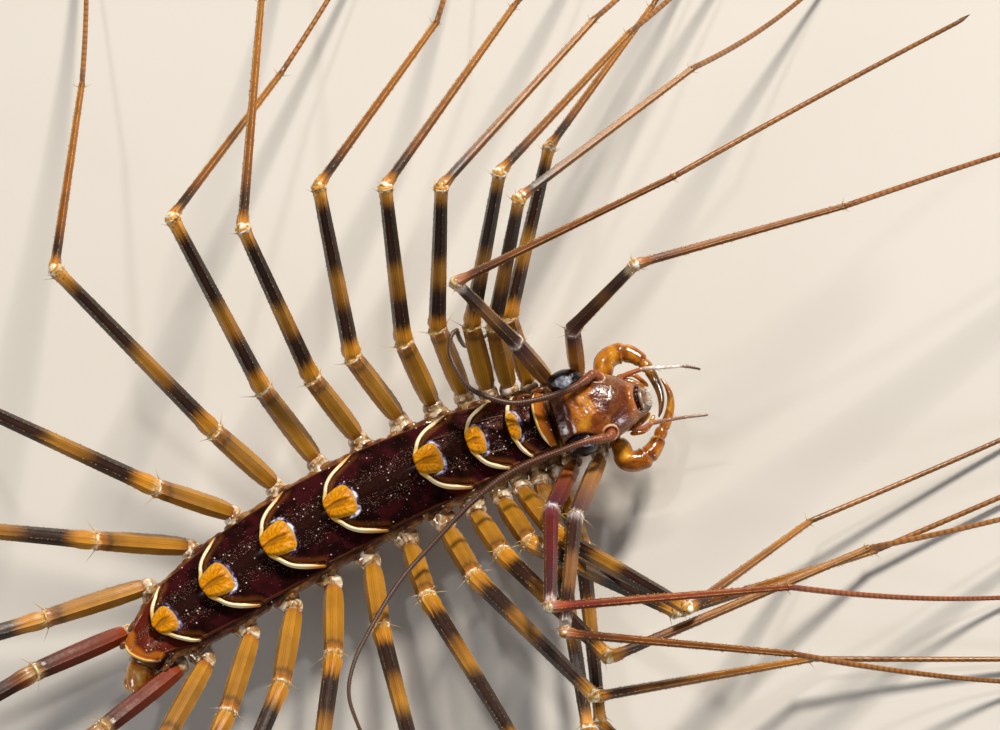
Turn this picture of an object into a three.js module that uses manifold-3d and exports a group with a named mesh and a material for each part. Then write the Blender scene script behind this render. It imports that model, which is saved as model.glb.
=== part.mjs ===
// House centipede, life size, as a still model: a large long-legged kind with fifteen pairs of legs.
// Millimetres, +Z up. The head looks along +X, the animal's left is +Y and its feet stand on Z = 0.
import * as THREE from 'three';
import { mergeVertices } from 'three/addons/utils/BufferGeometryUtils.js';
import Module from 'manifold-3d';

const wasm = await Module();
wasm.setup();

// The body bends gently, as one arc, with a tighter bend at the tail.
// A place on it is a station along the arc, forward of mid-body.
const bendRadius = 110;
const tailBend = { from: -23.5, radius: 11 };
const midBody = { x: 26.78, y: 3.03 };
const backHeight = 14.2;
const gap = 0.3;

// The trunk under the plates.
const trunkTop = 13.4;
const trunkBottom = 8.7;
const trunkFront = 19.1;
const trunkCuts = [3.4, -14.6];
const trunkTail = -28.9;

// The plates of the back, from the head backwards, with the hind edge and half-width of each.
const plates = [
  { name: 'neck_plate', hind: 17.65, half: 2.7, sweep: 0.3, saddle: 0 },
  { name: 'tergite_1', hind: 14.9, half: 3.15, sweep: 1.3, saddle: 0.28 },
  { name: 'tergite_2', hind: 10.6, half: 3.7, sweep: 3.0, saddle: 0.32 },
  { name: 'tergite_3', hind: 5.1, half: 4.2, sweep: 4.2, saddle: 0.4 },
  { name: 'tergite_4', hind: -4.8, half: 4.45, sweep: 4.4, saddle: 0.42 },
  { name: 'tergite_5', hind: -12.0, half: 4.45, sweep: 4.2, saddle: 0.42 },
  { name: 'tergite_6', hind: -19.2, half: 4.15, sweep: 3.6, saddle: 0.4 },
  { name: 'tergite_7', hind: -25.2, half: 3.4, sweep: 2.6, saddle: 0.34 },
  { name: 'tergite_8', hind: -28.6, half: 2.1, sweep: 1.0, saddle: 0 },
];
const plateFront = 19.0;
const plateThickness = 0.45;
const plateLift = 1.0;
const plateOverlap = 0.24;
const plateOverlapMost = 1.2;
const sweepPower = 2.5;
const archDrop = 0.42;

// Leg roots: station, distance out from the middle line, and height, for leg 1 to leg 15.
const legStation = [
  22.8, 19.9, 18.0, 16.1, 14.1, 11.8, 8.7, 5.2, 0.9, -3.6, -8.2, -13.0, -18.2, -23.6, -27.0,
];
const legSpread = [4.5, 4.5, 4.9, 5.2, 5.6, 6.0, 6.2, 6.3, 6.3, 6.2, 6.1, 5.9, 5.6, 5.0, 3.3];
const legRootHeight = [10.0, 10.2, 9.8, 10.5, 11];

// Lengths of the leg segments at some of the pairs; the pairs between follow evenly.
const prefemurLength = { 1: 10.2, 2: 9.2, 3: 7.6, 4: 8, 6: 8, 9: 8.8, 12: 9.4, 14: 10.6, 15: 10.6 };
const femurLength = { 1: 17.4, 5: 17.6, 6: 16, 7: 16.7, 8: 17.8, 10: 20.2, 11: 22.8, 14: 26, 15: 27 };
const tibiaLength = { 1: 22, 3: 23.5, 5: 24, 7: 27.5, 8: 26.5, 11: 27.5, 14: 33, 15: 36 };
const tarsusLength = { 1: 34, 7: 38, 14: 42, 15: 46 };
const legSides = 7;
const footRadius = 0.22;
const footFlat = 0.9;
const tarsusSteps = 6;

// The stance, in degrees: how far each segment swings forward of straight out, and how far it lifts.
// Each row is prefemur swing and lift, femur swing and lift, tibia swing and lift, and the foot's swing.
const stance = {
  left: [
    [38, 78, 101, 64, 96, -20, 92],
    [-24, 70, -40, 77, 90, -4, 83],
    [12, 40, 42, 16, 54, -28, 54],
    [18, 54, 52, 57, 73, -21, 64],
    [17, 51, 46, 44, 60, -28, 60],
    [7, 45, 36, 45, 62, -20, 57],
    [4, 51, 25, 40, 53, -25, 53],
    [-11, 44, 19, 33, 51, -29, 34],
    [-11, 49, 6, 50, 26, -16, 26],
    [-10, 31, 1, 37, 46, -38, 49],
    [-23, 46, -18, 34, 22, -31, 17],
    [-51, 46, -41, 30, -8, -33, -8],
    [-65, 34, -62, 28, -40, -33, -40],
    [-84, 15, -84, 22, -72, -32, -72],
    [-94, 30, -99, 22, -97, -32, -97],
  ],
  right: [
    [-41, 42, -26, 42, 60, -17, 63],
    [-41, 48, -20, 49, 70, -15, 70],
    [-8, -12, -21, -2, 25, -12, 25],
    [-12, -4, -17, 8, 35, -22, 35],
    [9, 38, 30, 25, 109, -48, 88],
    [6, 41, 37, 5, 87, -36, 87],
    [7, 44, 18, 22, 88, -13, 82],
    [5, 38, 18, 15, 79, -38, 64],
    [-3, 41, 6, 18, 45, -33, 45],
    [-12, 36, -8, 25, 20, -33, 20],
    [-19, 33, -28, 26, -5, -33, -5],
    [-28, 30, -42, 27, -22, -33, -22],
    [-34, 32, -46, 27, -42, -33, -42],
    [-45, 34, -60, 24, -62, -32, -62],
    [-70, 30, -74, 20, -78, -30, -78],
  ],
};
// The tips of the two first left legs are held in the air, at these heights; all others stand.
const raisedTips = { left: { 1: 14, 2: 24 }, right: {} };

// The head, from its back to the upper lip: station, half-width, top and underside of each ring.
const headRings = [
  { station: 19.4, half: 2.3, top: 13.7, bottom: 11.0 },
  { station: 19.7, half: 2.9, top: 14.3, bottom: 10.6 },
  { station: 20.8, half: 3.35, top: 14.9, bottom: 10.4 },
  { station: 22.3, half: 3.5, top: 15.2, bottom: 10.4 },
  { station: 23.8, half: 3.45, top: 15.15, bottom: 10.4 },
  { station: 25.2, half: 3.2, top: 14.8, bottom: 10.3 },
  { station: 26.5, half: 2.7, top: 14.15, bottom: 10.3 },
  { station: 27.6, half: 1.95, top: 13.3, bottom: 10.3 },
  { station: 28.5, half: 1.42, top: 12.5, bottom: 10.4 },
  { station: 29.2, half: 0.85, top: 11.8, bottom: 10.6 },
];
const headDrift = -0.2;
const eye = { station: 21.5, out: 3.35, height: 13.45, long: 1.8, deep: 1.15, tall: 1.4 };
const socket = { station: 24.6, out: { left: 2.6, right: 3.05 }, height: 14.1, rim: 0.35 };

const colours = {
  plate: { color: 0x2a1013, roughness: 0.3, metalness: 0 },
  trunk: { color: 0x9a6a3c, roughness: 0.5, metalness: 0 },
  head: { color: 0x8a3c12, roughness: 0.25, metalness: 0 },
  eye: { color: 0x0b0b12, roughness: 0.15, metalness: 0 },
  feeler: { color: 0x4a2416, roughness: 0.5, metalness: 0 },
  claw: { color: 0xb0621a, roughness: 0.3, metalness: 0 },
  leg: { color: 0xb07a26, roughness: 0.4, metalness: 0 },
  hindLeg: { color: 0x5a2a18, roughness: 0.4, metalness: 0 },
};

const model = new THREE.Group();

function addPiece(name, geometry, look) {
  const mesh = new THREE.Mesh(geometry, new THREE.MeshStandardMaterial(look));
  mesh.name = name;
  model.add(mesh);
}

function lerp(a, b, t) {
  return a + (b - a) * t;
}

// A value between the stations of a table, for a leg number.
function between(table, n) {
  const keys = Object.keys(table).map(Number);
  const upper = keys.find((key) => key >= n);
  const lower = keys.filter((key) => key <= n).pop();
  if (upper === lower) {
    return table[upper];
  }
  return lerp(table[lower], table[upper], (n - lower) / (upper - lower));
}

// A point of the body: station along the arc, distance to the animal's left, height above the floor.
function bodyPoint(station, left, height) {
  const main = Math.max(station, tailBend.from);
  const turn = main / bendRadius;
  const tailTurn = (station - main) / tailBend.radius;
  const forward = (tailBend.radius + left) * Math.sin(tailTurn);
  const sideways = (tailBend.radius + left) * Math.cos(tailTurn) - tailBend.radius;
  const radius = bendRadius + sideways;
  const x = midBody.x + radius * Math.sin(turn) + forward * Math.cos(turn);
  const y = midBody.y - bendRadius + radius * Math.cos(turn) - forward * Math.sin(turn);
  return new THREE.Vector3(x, y, height);
}

function welded(geometry) {
  geometry.deleteAttribute('normal');
  geometry.deleteAttribute('uv');
  return mergeVertices(geometry, 1e-4);
}

// One closed tube through a list of rings, each with a centre and its half-width and half-height.
// Rings with a station stand upright across the body; the others keep square to their own path.
function ringTube(rings, sides, roundness = 1) {
  const steps = rings.length - 1;
  const tube = new THREE.CylinderGeometry(1, 1, 1, sides, steps);
  const frames = rings[0].station === undefined ? squareFrames(rings) : bodyFrames(rings);
  const place = tube.attributes.position;
  const vertex = new THREE.Vector3();
  for (let i = 0; i < place.count; i += 1) {
    vertex.fromBufferAttribute(place, i);
    const index = Math.round((0.5 - vertex.y) * steps);
    const reach = Math.hypot(vertex.x, vertex.z) > 0.5 ? 1 : 0;
    const across = Math.sign(vertex.x) * Math.abs(vertex.x) ** roundness;
    const up = Math.sign(vertex.z) * Math.abs(vertex.z) ** roundness;
    const { side, over } = frames[index];
    vertex.copy(rings[index].centre);
    vertex.addScaledVector(side, reach * across * rings[index].wide);
    vertex.addScaledVector(over, reach * up * rings[index].high);
    place.setXYZ(i, vertex.x, vertex.y, Math.max(vertex.z, 0));
  }
  return welded(tube);
}

// A side and an over direction at each ring of a path, carried along it without twisting.
function squareFrames(rings) {
  const points = rings.map((ring) => ring.centre);
  const frames = [];
  const last = points.length - 1;
  const over = new THREE.Vector3(0, 0, 1);
  for (let i = 0; i <= last; i += 1) {
    const ahead = points[Math.min(i + 1, last)].clone().sub(points[Math.min(i, last - 1)]).normalize();
    const behind = points[Math.max(i, 1)].clone().sub(points[Math.max(i - 1, 0)]).normalize();
    const along = ahead.add(behind).normalize();
    over.addScaledVector(along, -over.dot(along)).normalize();
    const side = new THREE.Vector3().crossVectors(over, along).normalize();
    frames.push({ side, over: over.clone() });
  }
  return frames;
}

function bodyFrames(rings) {
  const forwards = rings[1].station > rings[0].station ? 1 : -1;
  return rings.map(({ station }) => {
    const side = bodyPoint(station, forwards, 0).sub(bodyPoint(station, 0, 0));
    return { side, over: new THREE.Vector3(0, 0, 1) };
  });
}

function bodyRing(station, height, wide, high, left = 0) {
  return { station, centre: bodyPoint(station, left, height), wide, high };
}

// Union and difference of closed geometries, keeping the largest closed surface.
function toSolid(geometry) {
  const vertProperties = Float32Array.from(geometry.attributes.position.array);
  const triVerts = Uint32Array.from(geometry.index.array);
  return new wasm.Manifold(new wasm.Mesh({ numProp: 3, vertProperties, triVerts }));
}

function toGeometry(solid) {
  const bodies = solid.decompose().sort((a, b) => b.volume() - a.volume());
  const mesh = bodies[0].getMesh();
  const geometry = new THREE.BufferGeometry();
  geometry.setAttribute('position', new THREE.BufferAttribute(mesh.vertProperties, 3));
  geometry.setIndex(new THREE.BufferAttribute(mesh.triVerts, 1));
  return geometry;
}

function joined(geometries, cutters = []) {
  let solid = geometries.map(toSolid).reduce((whole, piece) => whole.add(piece));
  cutters.forEach((cutter) => {
    solid = solid.subtract(toSolid(cutter));
  });
  return toGeometry(solid);
}

// Half-width of the plates at a station, through the plates' own half-widths.
function plateHalf(station) {
  const list = plates.map((plate) => ({ at: plate.hind + 2, half: plate.half }));
  if (station >= list[0].at) {
    return list[0].half;
  }
  const next = list.findIndex((item) => item.at <= station);
  if (next === -1) {
    return list[list.length - 1].half;
  }
  const ahead = list[next - 1];
  return lerp(list[next].half, ahead.half, (station - list[next].at) / (ahead.at - list[next].at));
}

// How far the hind edge of a plate lies forward of its middle, at a fraction of its half-width.
function edgeSweep(plate, across) {
  return plate.sweep * Math.abs(across) ** sweepPower;
}

function archHeight(half, across) {
  return -archDrop * half * Math.abs(across) ** 2.2;
}

// The yellow saddle over a breathing slit, raised at the middle of the hind edge, with the slit in it.
function saddleHeight(plate, across, along) {
  const out = Math.abs(across) / 0.42;
  const back = along / 0.42;
  if (out >= 1 || back >= 1) {
    return 0;
  }
  const slit = Math.abs(across) < 0.02 ? 0.35 : 1;
  return plate.saddle * slit * (1 - out ** 4) * (1 - back ** 2);
}

// How far the next plate runs on under this one.
function overlapUnder(plate) {
  const ahead = plates[plates.indexOf(plate) - 1];
  const long = (ahead ? ahead.hind : plateFront) - plate.hind;
  return Math.min(long * plateOverlap, plateOverlapMost);
}

function makePlate(plate, ahead) {
  const acrossSteps = 12;
  const alongSteps = 5;
  const sheet = new THREE.BoxGeometry(1, 1, 1, alongSteps, acrossSteps, 1);
  const place = sheet.attributes.position;
  for (let i = 0; i < place.count; i += 1) {
    const along = place.getX(i) + 0.5;
    const across = place.getY(i) * 2;
    const upper = place.getZ(i) > 0;
    const hind = plate.hind + edgeSweep(plate, across);
    const front = ahead ? ahead.hind + overlapUnder(ahead) + edgeSweep(ahead, across) : plateFront;
    const station = lerp(hind, front, along ** 1.15);
    const half = plateHalf(station);
    const lift = plateLift * THREE.MathUtils.smoothstep(1 - along, 0, 1) - 0.05;
    const height = backHeight + lift + archHeight(half, across);
    const raised = upper ? saddleHeight(plate, across, along) : -plateThickness;
    const point = bodyPoint(station, across * half, height + raised);
    place.setXYZ(i, point.x, point.y, point.z);
  }
  addPiece(plate.name, welded(sheet), colours.plate);
}

plates.forEach((plate, index) => makePlate(plate, plates[index - 1]));

// The trunk in three lengths, flat-ended, with the hips that carry the legs.
function trunkRing(station) {
  const half = 0.87 * plateHalf(station);
  const tail = THREE.MathUtils.clamp((-22 - station) / 7, 0, 1);
  const neck = THREE.MathUtils.clamp((station - 13) / 6, 0, 1);
  const top = trunkTop - 1.1 * tail - 0.3 * neck;
  const bottom = trunkBottom + 0.8 * tail;
  const high = (top - bottom) / 2;
  return bodyRing(station, bottom + high, half, high);
}

function trunkLength(from, to, steps) {
  const rings = [];
  for (let i = 0; i <= steps; i += 1) {
    rings.push(trunkRing(lerp(from, to, i / steps)));
  }
  return ringTube(rings, 12);
}

function side(name) {
  return name === 'left' ? 1 : -1;
}

function legRoot(which, n) {
  const height = legRootHeight[Math.min(n, legRootHeight.length) - 1];
  return bodyPoint(legStation[n - 1], side(which) * legSpread[n - 1], height);
}

// The hip comes out of the trunk sideways and slightly upwards, towards the leg's root.
function hipAim(which, n) {
  const inner = bodyPoint(legStation[n - 1], 0, legRoot(which, n).z - 1.6);
  return legRoot(which, n).sub(inner).normalize();
}

const trochanterLength = 1.0;
const hipRadius = 0.95;
const hipFlare = 1.3;

function hip(which, n) {
  const aim = hipAim(which, n);
  const end = legRoot(which, n).addScaledVector(aim, -trochanterLength - gap);
  const size = legSize(n);
  const inside = Math.min(legSpread[n - 1] - 2, 3);
  return ringTube([
    { centre: end.clone().addScaledVector(aim, -inside), wide: hipRadius * size, high: 1.1 * size },
    { centre: end.clone().addScaledVector(aim, -0.6), wide: hipRadius * size, high: 1.0 * size },
    { centre: end, wide: 0.72 * size, high: 0.72 * size },
  ], 7);
}

// The first legs are a little slimmer than the rest.
function legSize(n) {
  return n > 5 ? 0.96 : lerp(0.82, 0.92, (n - 1) / 4);
}

function makeTrunk(name, from, to, steps, firstLeg, lastLeg, extra = []) {
  const pieces = [trunkLength(from, to, steps), ...extra];
  for (let n = firstLeg; n <= lastLeg; n += 1) {
    pieces.push(hip('left', n), hip('right', n));
  }
  addPiece(name, joined(pieces), colours.trunk);
}

// Under the head the trunk runs on as a flat base that carries the poison claws and the first legs.
function headBase() {
  return ringTube([
    bodyRing(17.5, 9.5, 2.6, 0.8),
    bodyRing(20.5, 9.2, 2.9, 0.85),
    bodyRing(23.6, 9.1, 2.9, 0.85),
    bodyRing(25.2, 9.0, 2.2, 0.7),
  ], 10);
}

// The seats of the poison claws face forwards and out at the front corners of that base.
function clawSeat(which, outwards) {
  return bodyPoint(24.7 + 0.6 * outwards, side(which) * (3.3 + 0.8 * outwards), 9.3);
}

function clawStub(which) {
  return ringTube([
    { centre: clawSeat(which, -2.4), wide: 0.9, high: 0.6 },
    { centre: clawSeat(which, -0.8), wide: 1.0, high: 0.75 },
    { centre: clawSeat(which, 0), wide: 0.85, high: 0.75 },
  ], 8);
}

const headParts = [headBase(), clawStub('left'), clawStub('right')];
makeTrunk('trunk_front', trunkFront, trunkCuts[0] + gap, 7, 1, 8, headParts);
makeTrunk('trunk_middle', trunkCuts[0], trunkCuts[1] + gap, 8, 9, 12);
makeTrunk('trunk_rear', trunkCuts[1], trunkTail, 8, 13, 15);

// The last, small segment with its rounded lobes.
addPiece('tail_end', ringTube([
  bodyRing(trunkTail - gap, 11.2, 1.5, 1.2),
  bodyRing(trunkTail - 1.2, 11.1, 1.55, 1.15),
  bodyRing(trunkTail - 2.2, 11.0, 1.2, 0.9),
  bodyRing(trunkTail - 2.9, 10.9, 0.6, 0.5),
], 10), colours.claw);

// Legs: trochanter, prefemur, femur, tibia, and a tarsus that curves down and ends flat on the floor.
function segmentVector(which, length, swing, lift) {
  const turn = THREE.MathUtils.degToRad(swing);
  const rise = THREE.MathUtils.degToRad(lift);
  const level = length * Math.cos(rise);
  return new THREE.Vector3(
    level * Math.sin(turn),
    side(which) * level * Math.cos(turn),
    length * Math.sin(rise),
  );
}

function legJoints(which, n) {
  const [preSwing, preLift, femurSwing, femurLift, tibiaSwing, tibiaLift, footSwing] = stance[which][n - 1];
  const root = legRoot(which, n);
  const knee1 = root.clone().add(segmentVector(which, between(prefemurLength, n), preSwing, preLift));
  const knee2 = knee1.clone().add(segmentVector(which, between(femurLength, n), femurSwing, femurLift));
  const ankle = knee2.clone().add(segmentVector(which, between(tibiaLength, n), tibiaSwing, tibiaLift));
  const raised = raisedTips[which][n];
  const tipHeight = raised ?? footRadius * 0.55;
  const reach = Math.sqrt(between(tarsusLength, n) ** 2 - (ankle.z - tipHeight) ** 2);
  const tip = ankle.clone().add(segmentVector(which, reach, footSwing, 0)).setZ(tipHeight);
  const heel = tip.clone().add(segmentVector(which, -footFlat, footSwing, 0));
  const bend = ankle.clone().lerp(tip, 0.52).setZ(lerp(tipHeight, ankle.z, raised ? 0.55 : 0.12));
  return { root, knee1, knee2, ankle, bend, heel, tip };
}

function alongSegment(from, to, marks) {
  return marks.map(([t, wide, high]) => ({ centre: from.clone().lerp(to, t), wide, high }));
}

function makeLeg(which, n) {
  const joints = legJoints(which, n);
  const size = legSize(n);
  const start = joints.root.clone().addScaledVector(hipAim(which, n), -trochanterLength);
  const flare = n > 6 && n < 15 ? hipFlare : 1;
  const rings = [
    { centre: start, wide: 0.62 * flare, high: 0.62 * flare },
    { centre: start.clone().lerp(joints.root, 0.45), wide: 0.76 * flare, high: 0.76 * flare },
    ...alongSegment(joints.root, joints.knee1, [
      [0.03, 0.78, 0.8], [0.1, 0.96, 0.98], [0.5, 1.05, 1.1], [0.88, 0.9, 0.95], [1, 0.94, 0.98],
    ]),
    ...alongSegment(joints.knee1, joints.knee2, [
      [0.08, 0.86, 0.9], [0.92, 0.66, 0.72], [1, 0.74, 0.8],
    ]),
    ...alongSegment(joints.knee2, joints.ankle, [
      [0.05, 0.5, 0.52], [0.98, 0.35, 0.36],
    ]),
  ];
  rings.forEach((ring) => {
    ring.wide *= size;
    ring.high *= size;
  });
  const curve = new THREE.QuadraticBezierCurve3(joints.ankle, joints.bend, joints.heel);
  for (let i = 1; i <= tarsusSteps; i += 1) {
    const radius = lerp(0.3, footRadius, i / tarsusSteps);
    rings.push({ centre: curve.getPoint(i / tarsusSteps), wide: radius, high: radius });
  }
  rings.push({ centre: joints.tip, wide: footRadius, high: footRadius });
  const number = String(n).padStart(2, '0');
  const look = n === 15 ? colours.hindLeg : colours.leg;
  addPiece(`leg_${which}_${number}`, ringTube(rings, legSides), look);
}

for (let n = 1; n <= 15; n += 1) {
  makeLeg('left', n);
  makeLeg('right', n);
}

// An egg shape lying along the body, turned outwards and up for an eye.
function egg(centre, long, deep, tall, heading) {
  const ball = welded(new THREE.SphereGeometry(1, 14, 9));
  ball.rotateX(Math.PI / 2);
  ball.scale(long, deep, tall);
  ball.rotateZ(heading);
  ball.translate(centre.x, centre.y, centre.z);
  return ball;
}

function eyeEgg(which, extra) {
  const centre = bodyPoint(eye.station, headDrift + side(which) * eye.out, eye.height);
  const heading = -eye.station / bendRadius - side(which) * 0.12;
  return egg(centre, eye.long + extra, eye.deep + extra, eye.tall + extra, heading);
}

function socketPoint(which, outwards) {
  const left = headDrift + side(which) * (socket.out[which] + 0.55 * outwards);
  return bodyPoint(socket.station + 0.2 * outwards, left, socket.height + 0.81 * outwards);
}

// A raised ring round the root of each feeler.
function socketRing(which) {
  return ringTube([
    { centre: socketPoint(which, -1.2), wide: 0.8, high: 0.8 },
    { centre: socketPoint(which, 0.1), wide: 0.74, high: 0.74 },
    { centre: socketPoint(which, socket.rim), wide: 0.5, high: 0.5 },
  ], 10);
}

function headShell() {
  const rings = headRings.map((ring) => {
    const high = (ring.top - ring.bottom) / 2;
    return bodyRing(ring.station, ring.bottom + high, ring.half, high, headDrift);
  });
  return ringTube(rings, 18, 0.85);
}

addPiece('head', joined(
  [headShell(), socketRing('left'), socketRing('right')],
  [eyeEgg('left', gap), eyeEgg('right', gap)],
), colours.head);
addPiece('eye_left', eyeEgg('left', 0), colours.eye);
addPiece('eye_right', eyeEgg('right', 0), colours.eye);

// A tapering limb: it leaves its seat straight, then runs through a few places of the body,
// each given as a station, a distance to the left and a height.
function taperedLimb([seat, start], places, steps, sides, radiusAt) {
  const points = places.map(([station, left, height]) => bodyPoint(station, left, height));
  const curve = new THREE.CatmullRomCurve3([start, ...points], false, 'centripetal');
  const rings = [{ centre: seat, wide: radiusAt(0), high: radiusAt(0) }];
  for (let i = 0; i <= steps; i += 1) {
    const t = i / steps;
    const radius = radiusAt(t);
    rings.push({ centre: curve.getPointAt(t), wide: radius, high: radius });
  }
  return ringTube(rings, sides);
}

// The feelers bend back over the body; the left one curls down between legs 5 and 6.
const feelerRoutes = {
  left: [
    [23.6, 2.2, 15.6], [22.4, 1.7, 16.0], [20.7, 1.4, 16.4], [16.4, 1.7, 17.0], [14.1, 3.1, 17.5],
    [12.8, 4.5, 18.0], [12.3, 6.4, 18.5], [12.3, 8.5, 18.6], [12.9, 9.8, 18.7], [13.5, 10.3, 18.2],
    [13.45, 10.3, 16.6], [13.4, 10.3, 14], [13.5, 10.5, 11], [14.1, 11.0, 8.8], [15.4, 11.8, 7.2],
    [17.0, 12.7, 6.2], [19.4, 14.8, 5.4],
  ],
  right: [
    [23.5, -3.9, 15.5], [22.4, -3.9, 15.9], [20.8, -4.0, 16.2], [19.2, -4.2, 16.5], [16.0, -4.4, 16.7],
    [12.5, -5.0, 16.9], [8.7, -6.3, 17.1], [3.5, -8.5, 17.6], [-1.2, -10.5, 18.4], [-6.4, -13.5, 19.6],
    [-9.9, -15.8, 20.4], [-12.0, -18.0, 20.7], [-13.0, -20.8, 20.4], [-13.6, -24.4, 19.4],
    [-13.6, -28.0, 17.4], [-13.0, -31.4, 14.6],
  ],
};

// The first part of a feeler is thicker, over this share of its length.
const scapeShare = 0.07;

function makeFeeler(which) {
  const start = [socketPoint(which, socket.rim + gap), socketPoint(which, socket.rim + gap + 0.35)];
  const radiusAt = (t) => lerp(0.36, 0.15, t ** 0.7) + 0.14 * Math.max(0, 1 - t / scapeShare);
  addPiece(`antenna_${which}`, taperedLimb(start, feelerRoutes[which], 36, 6, radiusAt), colours.feeler);
}

makeFeeler('left');
makeFeeler('right');

// The poison claws arch round the front of the head and cross at their tips.
const clawRoutes = {
  left: [[25.6, 5.1, 9.2], [26.6, 5.6, 9.1], [27.7, 5.5, 9.0], [28.7, 4.8, 9.0], [29.5, 3.4, 9.1],
    [30.0, 1.8, 9.2], [30.2, 0.3, 9.5], [30.0, -1.0, 9.8], [29.6, -1.9, 9.9]],
  right: [[25.3, -5.1, 9.1], [26.2, -5.5, 8.9], [27.4, -5.3, 8.7], [28.6, -4.4, 8.5], [29.4, -3.2, 8.3],
    [30.3, -2.0, 8.1], [30.9, -0.7, 8.0], [31.1, 0.5, 8.0], [30.9, 1.6, 8.1], [30.5, 2.4, 8.2]],
};
// Their radius at some hundredths of their length.
const clawRadius = {
  0: 0.84, 6: 1.0, 16: 1.12, 30: 1.06, 40: 0.88, 50: 0.68, 60: 0.56, 72: 0.46, 85: 0.34, 95: 0.2, 100: 0.12,
};

function makeClaw(which) {
  const start = [clawSeat(which, gap), clawSeat(which, gap + 0.4)];
  const radiusAt = (t) => between(clawRadius, t * 100);
  addPiece(`forcipule_${which}`, taperedLimb(start, clawRoutes[which], 16, 8, radiusAt), colours.claw);
}

makeClaw('left');
makeClaw('right');

// The thin jointed palps reach forward over the claws.
const palpRoutes = {
  left: [[29.2, 3.0, 11.1], [31.2, 2.7, 11.1], [32.9, 2.5, 11.0], [34.6, 2.0, 10.5]],
  right: [[28.7, -2.6, 10.9], [31.7, -2.6, 10.8], [34.6, -2.7, 10.4]],
};

function makePalp(which) {
  const start = [bodyPoint(27.2, side(which) * 2.8, 10.9), bodyPoint(27.8, side(which) * 2.9, 11.0)];
  const radiusAt = (t) => lerp(0.3, 0.18, t);
  addPiece(`palp_${which}`, taperedLimb(start, palpRoutes[which], 12, 6, radiusAt), colours.feeler);
}

makePalp('left');
makePalp('right');

export default model;
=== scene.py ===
import math

import bpy
import bmesh
import numpy as np
from mathutils import Matrix


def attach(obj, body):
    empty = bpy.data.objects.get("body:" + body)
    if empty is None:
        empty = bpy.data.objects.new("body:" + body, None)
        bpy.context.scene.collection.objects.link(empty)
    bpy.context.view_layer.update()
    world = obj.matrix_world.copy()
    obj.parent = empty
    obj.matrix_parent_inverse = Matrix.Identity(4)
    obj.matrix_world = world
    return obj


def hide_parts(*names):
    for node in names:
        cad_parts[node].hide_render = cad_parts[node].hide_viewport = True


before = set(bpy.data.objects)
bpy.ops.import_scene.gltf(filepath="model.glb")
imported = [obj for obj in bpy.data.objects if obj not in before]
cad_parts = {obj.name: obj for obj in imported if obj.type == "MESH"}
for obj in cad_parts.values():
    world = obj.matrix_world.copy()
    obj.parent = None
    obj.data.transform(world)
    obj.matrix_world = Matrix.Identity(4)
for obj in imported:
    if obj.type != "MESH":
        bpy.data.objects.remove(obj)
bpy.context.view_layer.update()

# Looks of a large house centipede. All places and sizes are in millimetres until a mesh is made.
# The body is an arc with a tighter bend at the tail; a place on it is a station along the arc,
# a distance to the animal's left and a height.
body = {
    "radius": 110, "tailFrom": -23.5, "tailRadius": 11, "x": 26.78, "y": 3.03, "back": 14.2,
    "metres": 0.001, "seed": 7,
}
chance = np.random.default_rng(body["seed"])
skyward = np.array([0, 0, 1.0])
hands = ("left", "right")


def lerp(a, b, t):
    return a + (b - a) * t


def ease(t):
    t = np.clip(t, 0, 1)
    return t * t * (3 - 2 * t)


def hump(value, width):
    return np.exp(-(value / width) ** 2)


def unit(vector):
    vector = np.asarray(vector, float)
    return vector / np.maximum(np.linalg.norm(vector, axis=-1, keepdims=True), 1e-9)


# How full a domed end is at a distance from it.
def dome(distance, depth):
    return np.sqrt(np.clip(1 - (1 - np.clip(distance / depth, 0, 1)) ** 2, 0.0004, 1))


# Domes at both ends of a rod; each has a start outside the rod and a depth.
def domedEnds(t, length, before, first, beyond, last):
    return dome(t * length + before, first) * dome((1 - t) * length + beyond, last)


def turnsRound(count):
    return np.arange(count) / count * 2 * np.pi


def sideOf(which):
    return 1 if which == "left" else -1


def bodyPoint(station, left, height):
    station, left, height = np.broadcast_arrays(
        *(np.asarray(v, float) for v in (station, left, height)))
    main = np.maximum(station, body["tailFrom"])
    turn = main / body["radius"]
    tail = (station - main) / body["tailRadius"]
    forward = (body["tailRadius"] + left) * np.sin(tail)
    radius = body["radius"] + (body["tailRadius"] + left) * np.cos(tail) - body["tailRadius"]
    x = body["x"] + radius * np.sin(turn) + forward * np.cos(turn)
    y = body["y"] - body["radius"] + radius * np.cos(turn) - forward * np.sin(turn)
    return np.stack([x, y, height], -1)


# Where the middle of the body lies at some stations, with the ways to its side and upwards.
def bodyFrames(station):
    sides = bodyPoint(station, 1, 0) - bodyPoint(station, 0, 0)
    return sides, np.repeat([skyward], len(station), 0)


def colour(text):
    parts = [int(text[i:i + 2], 16) / 255 for i in (0, 2, 4)]
    linear = [c / 12.92 if c <= 0.04045 else ((c + 0.055) / 1.055) ** 2.4 for c in parts]
    return tuple(linear) + (1.0,)


# Materials are made of nodes; every node goes to the look that is on the bench.
bench = {}


def newLook(name):
    look = bpy.data.materials.new(name)
    look.use_nodes = True
    look.node_tree.nodes.clear()
    bench["tree"] = look.node_tree
    return look


def addNode(kind, settings=None, inputs=None):
    made = bench["tree"].nodes.new("ShaderNode" + kind)
    for key, value in (settings or {}).items():
        setattr(made, key, value)
    for key, value in (inputs or {}).items():
        if isinstance(value, bpy.types.NodeSocket):
            bench["tree"].links.new(value, made.inputs[key])
        else:
            made.inputs[key].default_value = value
    return made


def maths(operation, *values):
    return addNode("Math", {"operation": operation}, dict(enumerate(values))).outputs[0]


def times(first, *others):
    for other in others:
        first = maths("MULTIPLY", first, other)
    return first


def plus(first, *others):
    for other in others:
        first = maths("ADD", first, other)
    return first


def minus(a, b):
    return maths("SUBTRACT", a, b)


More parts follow.
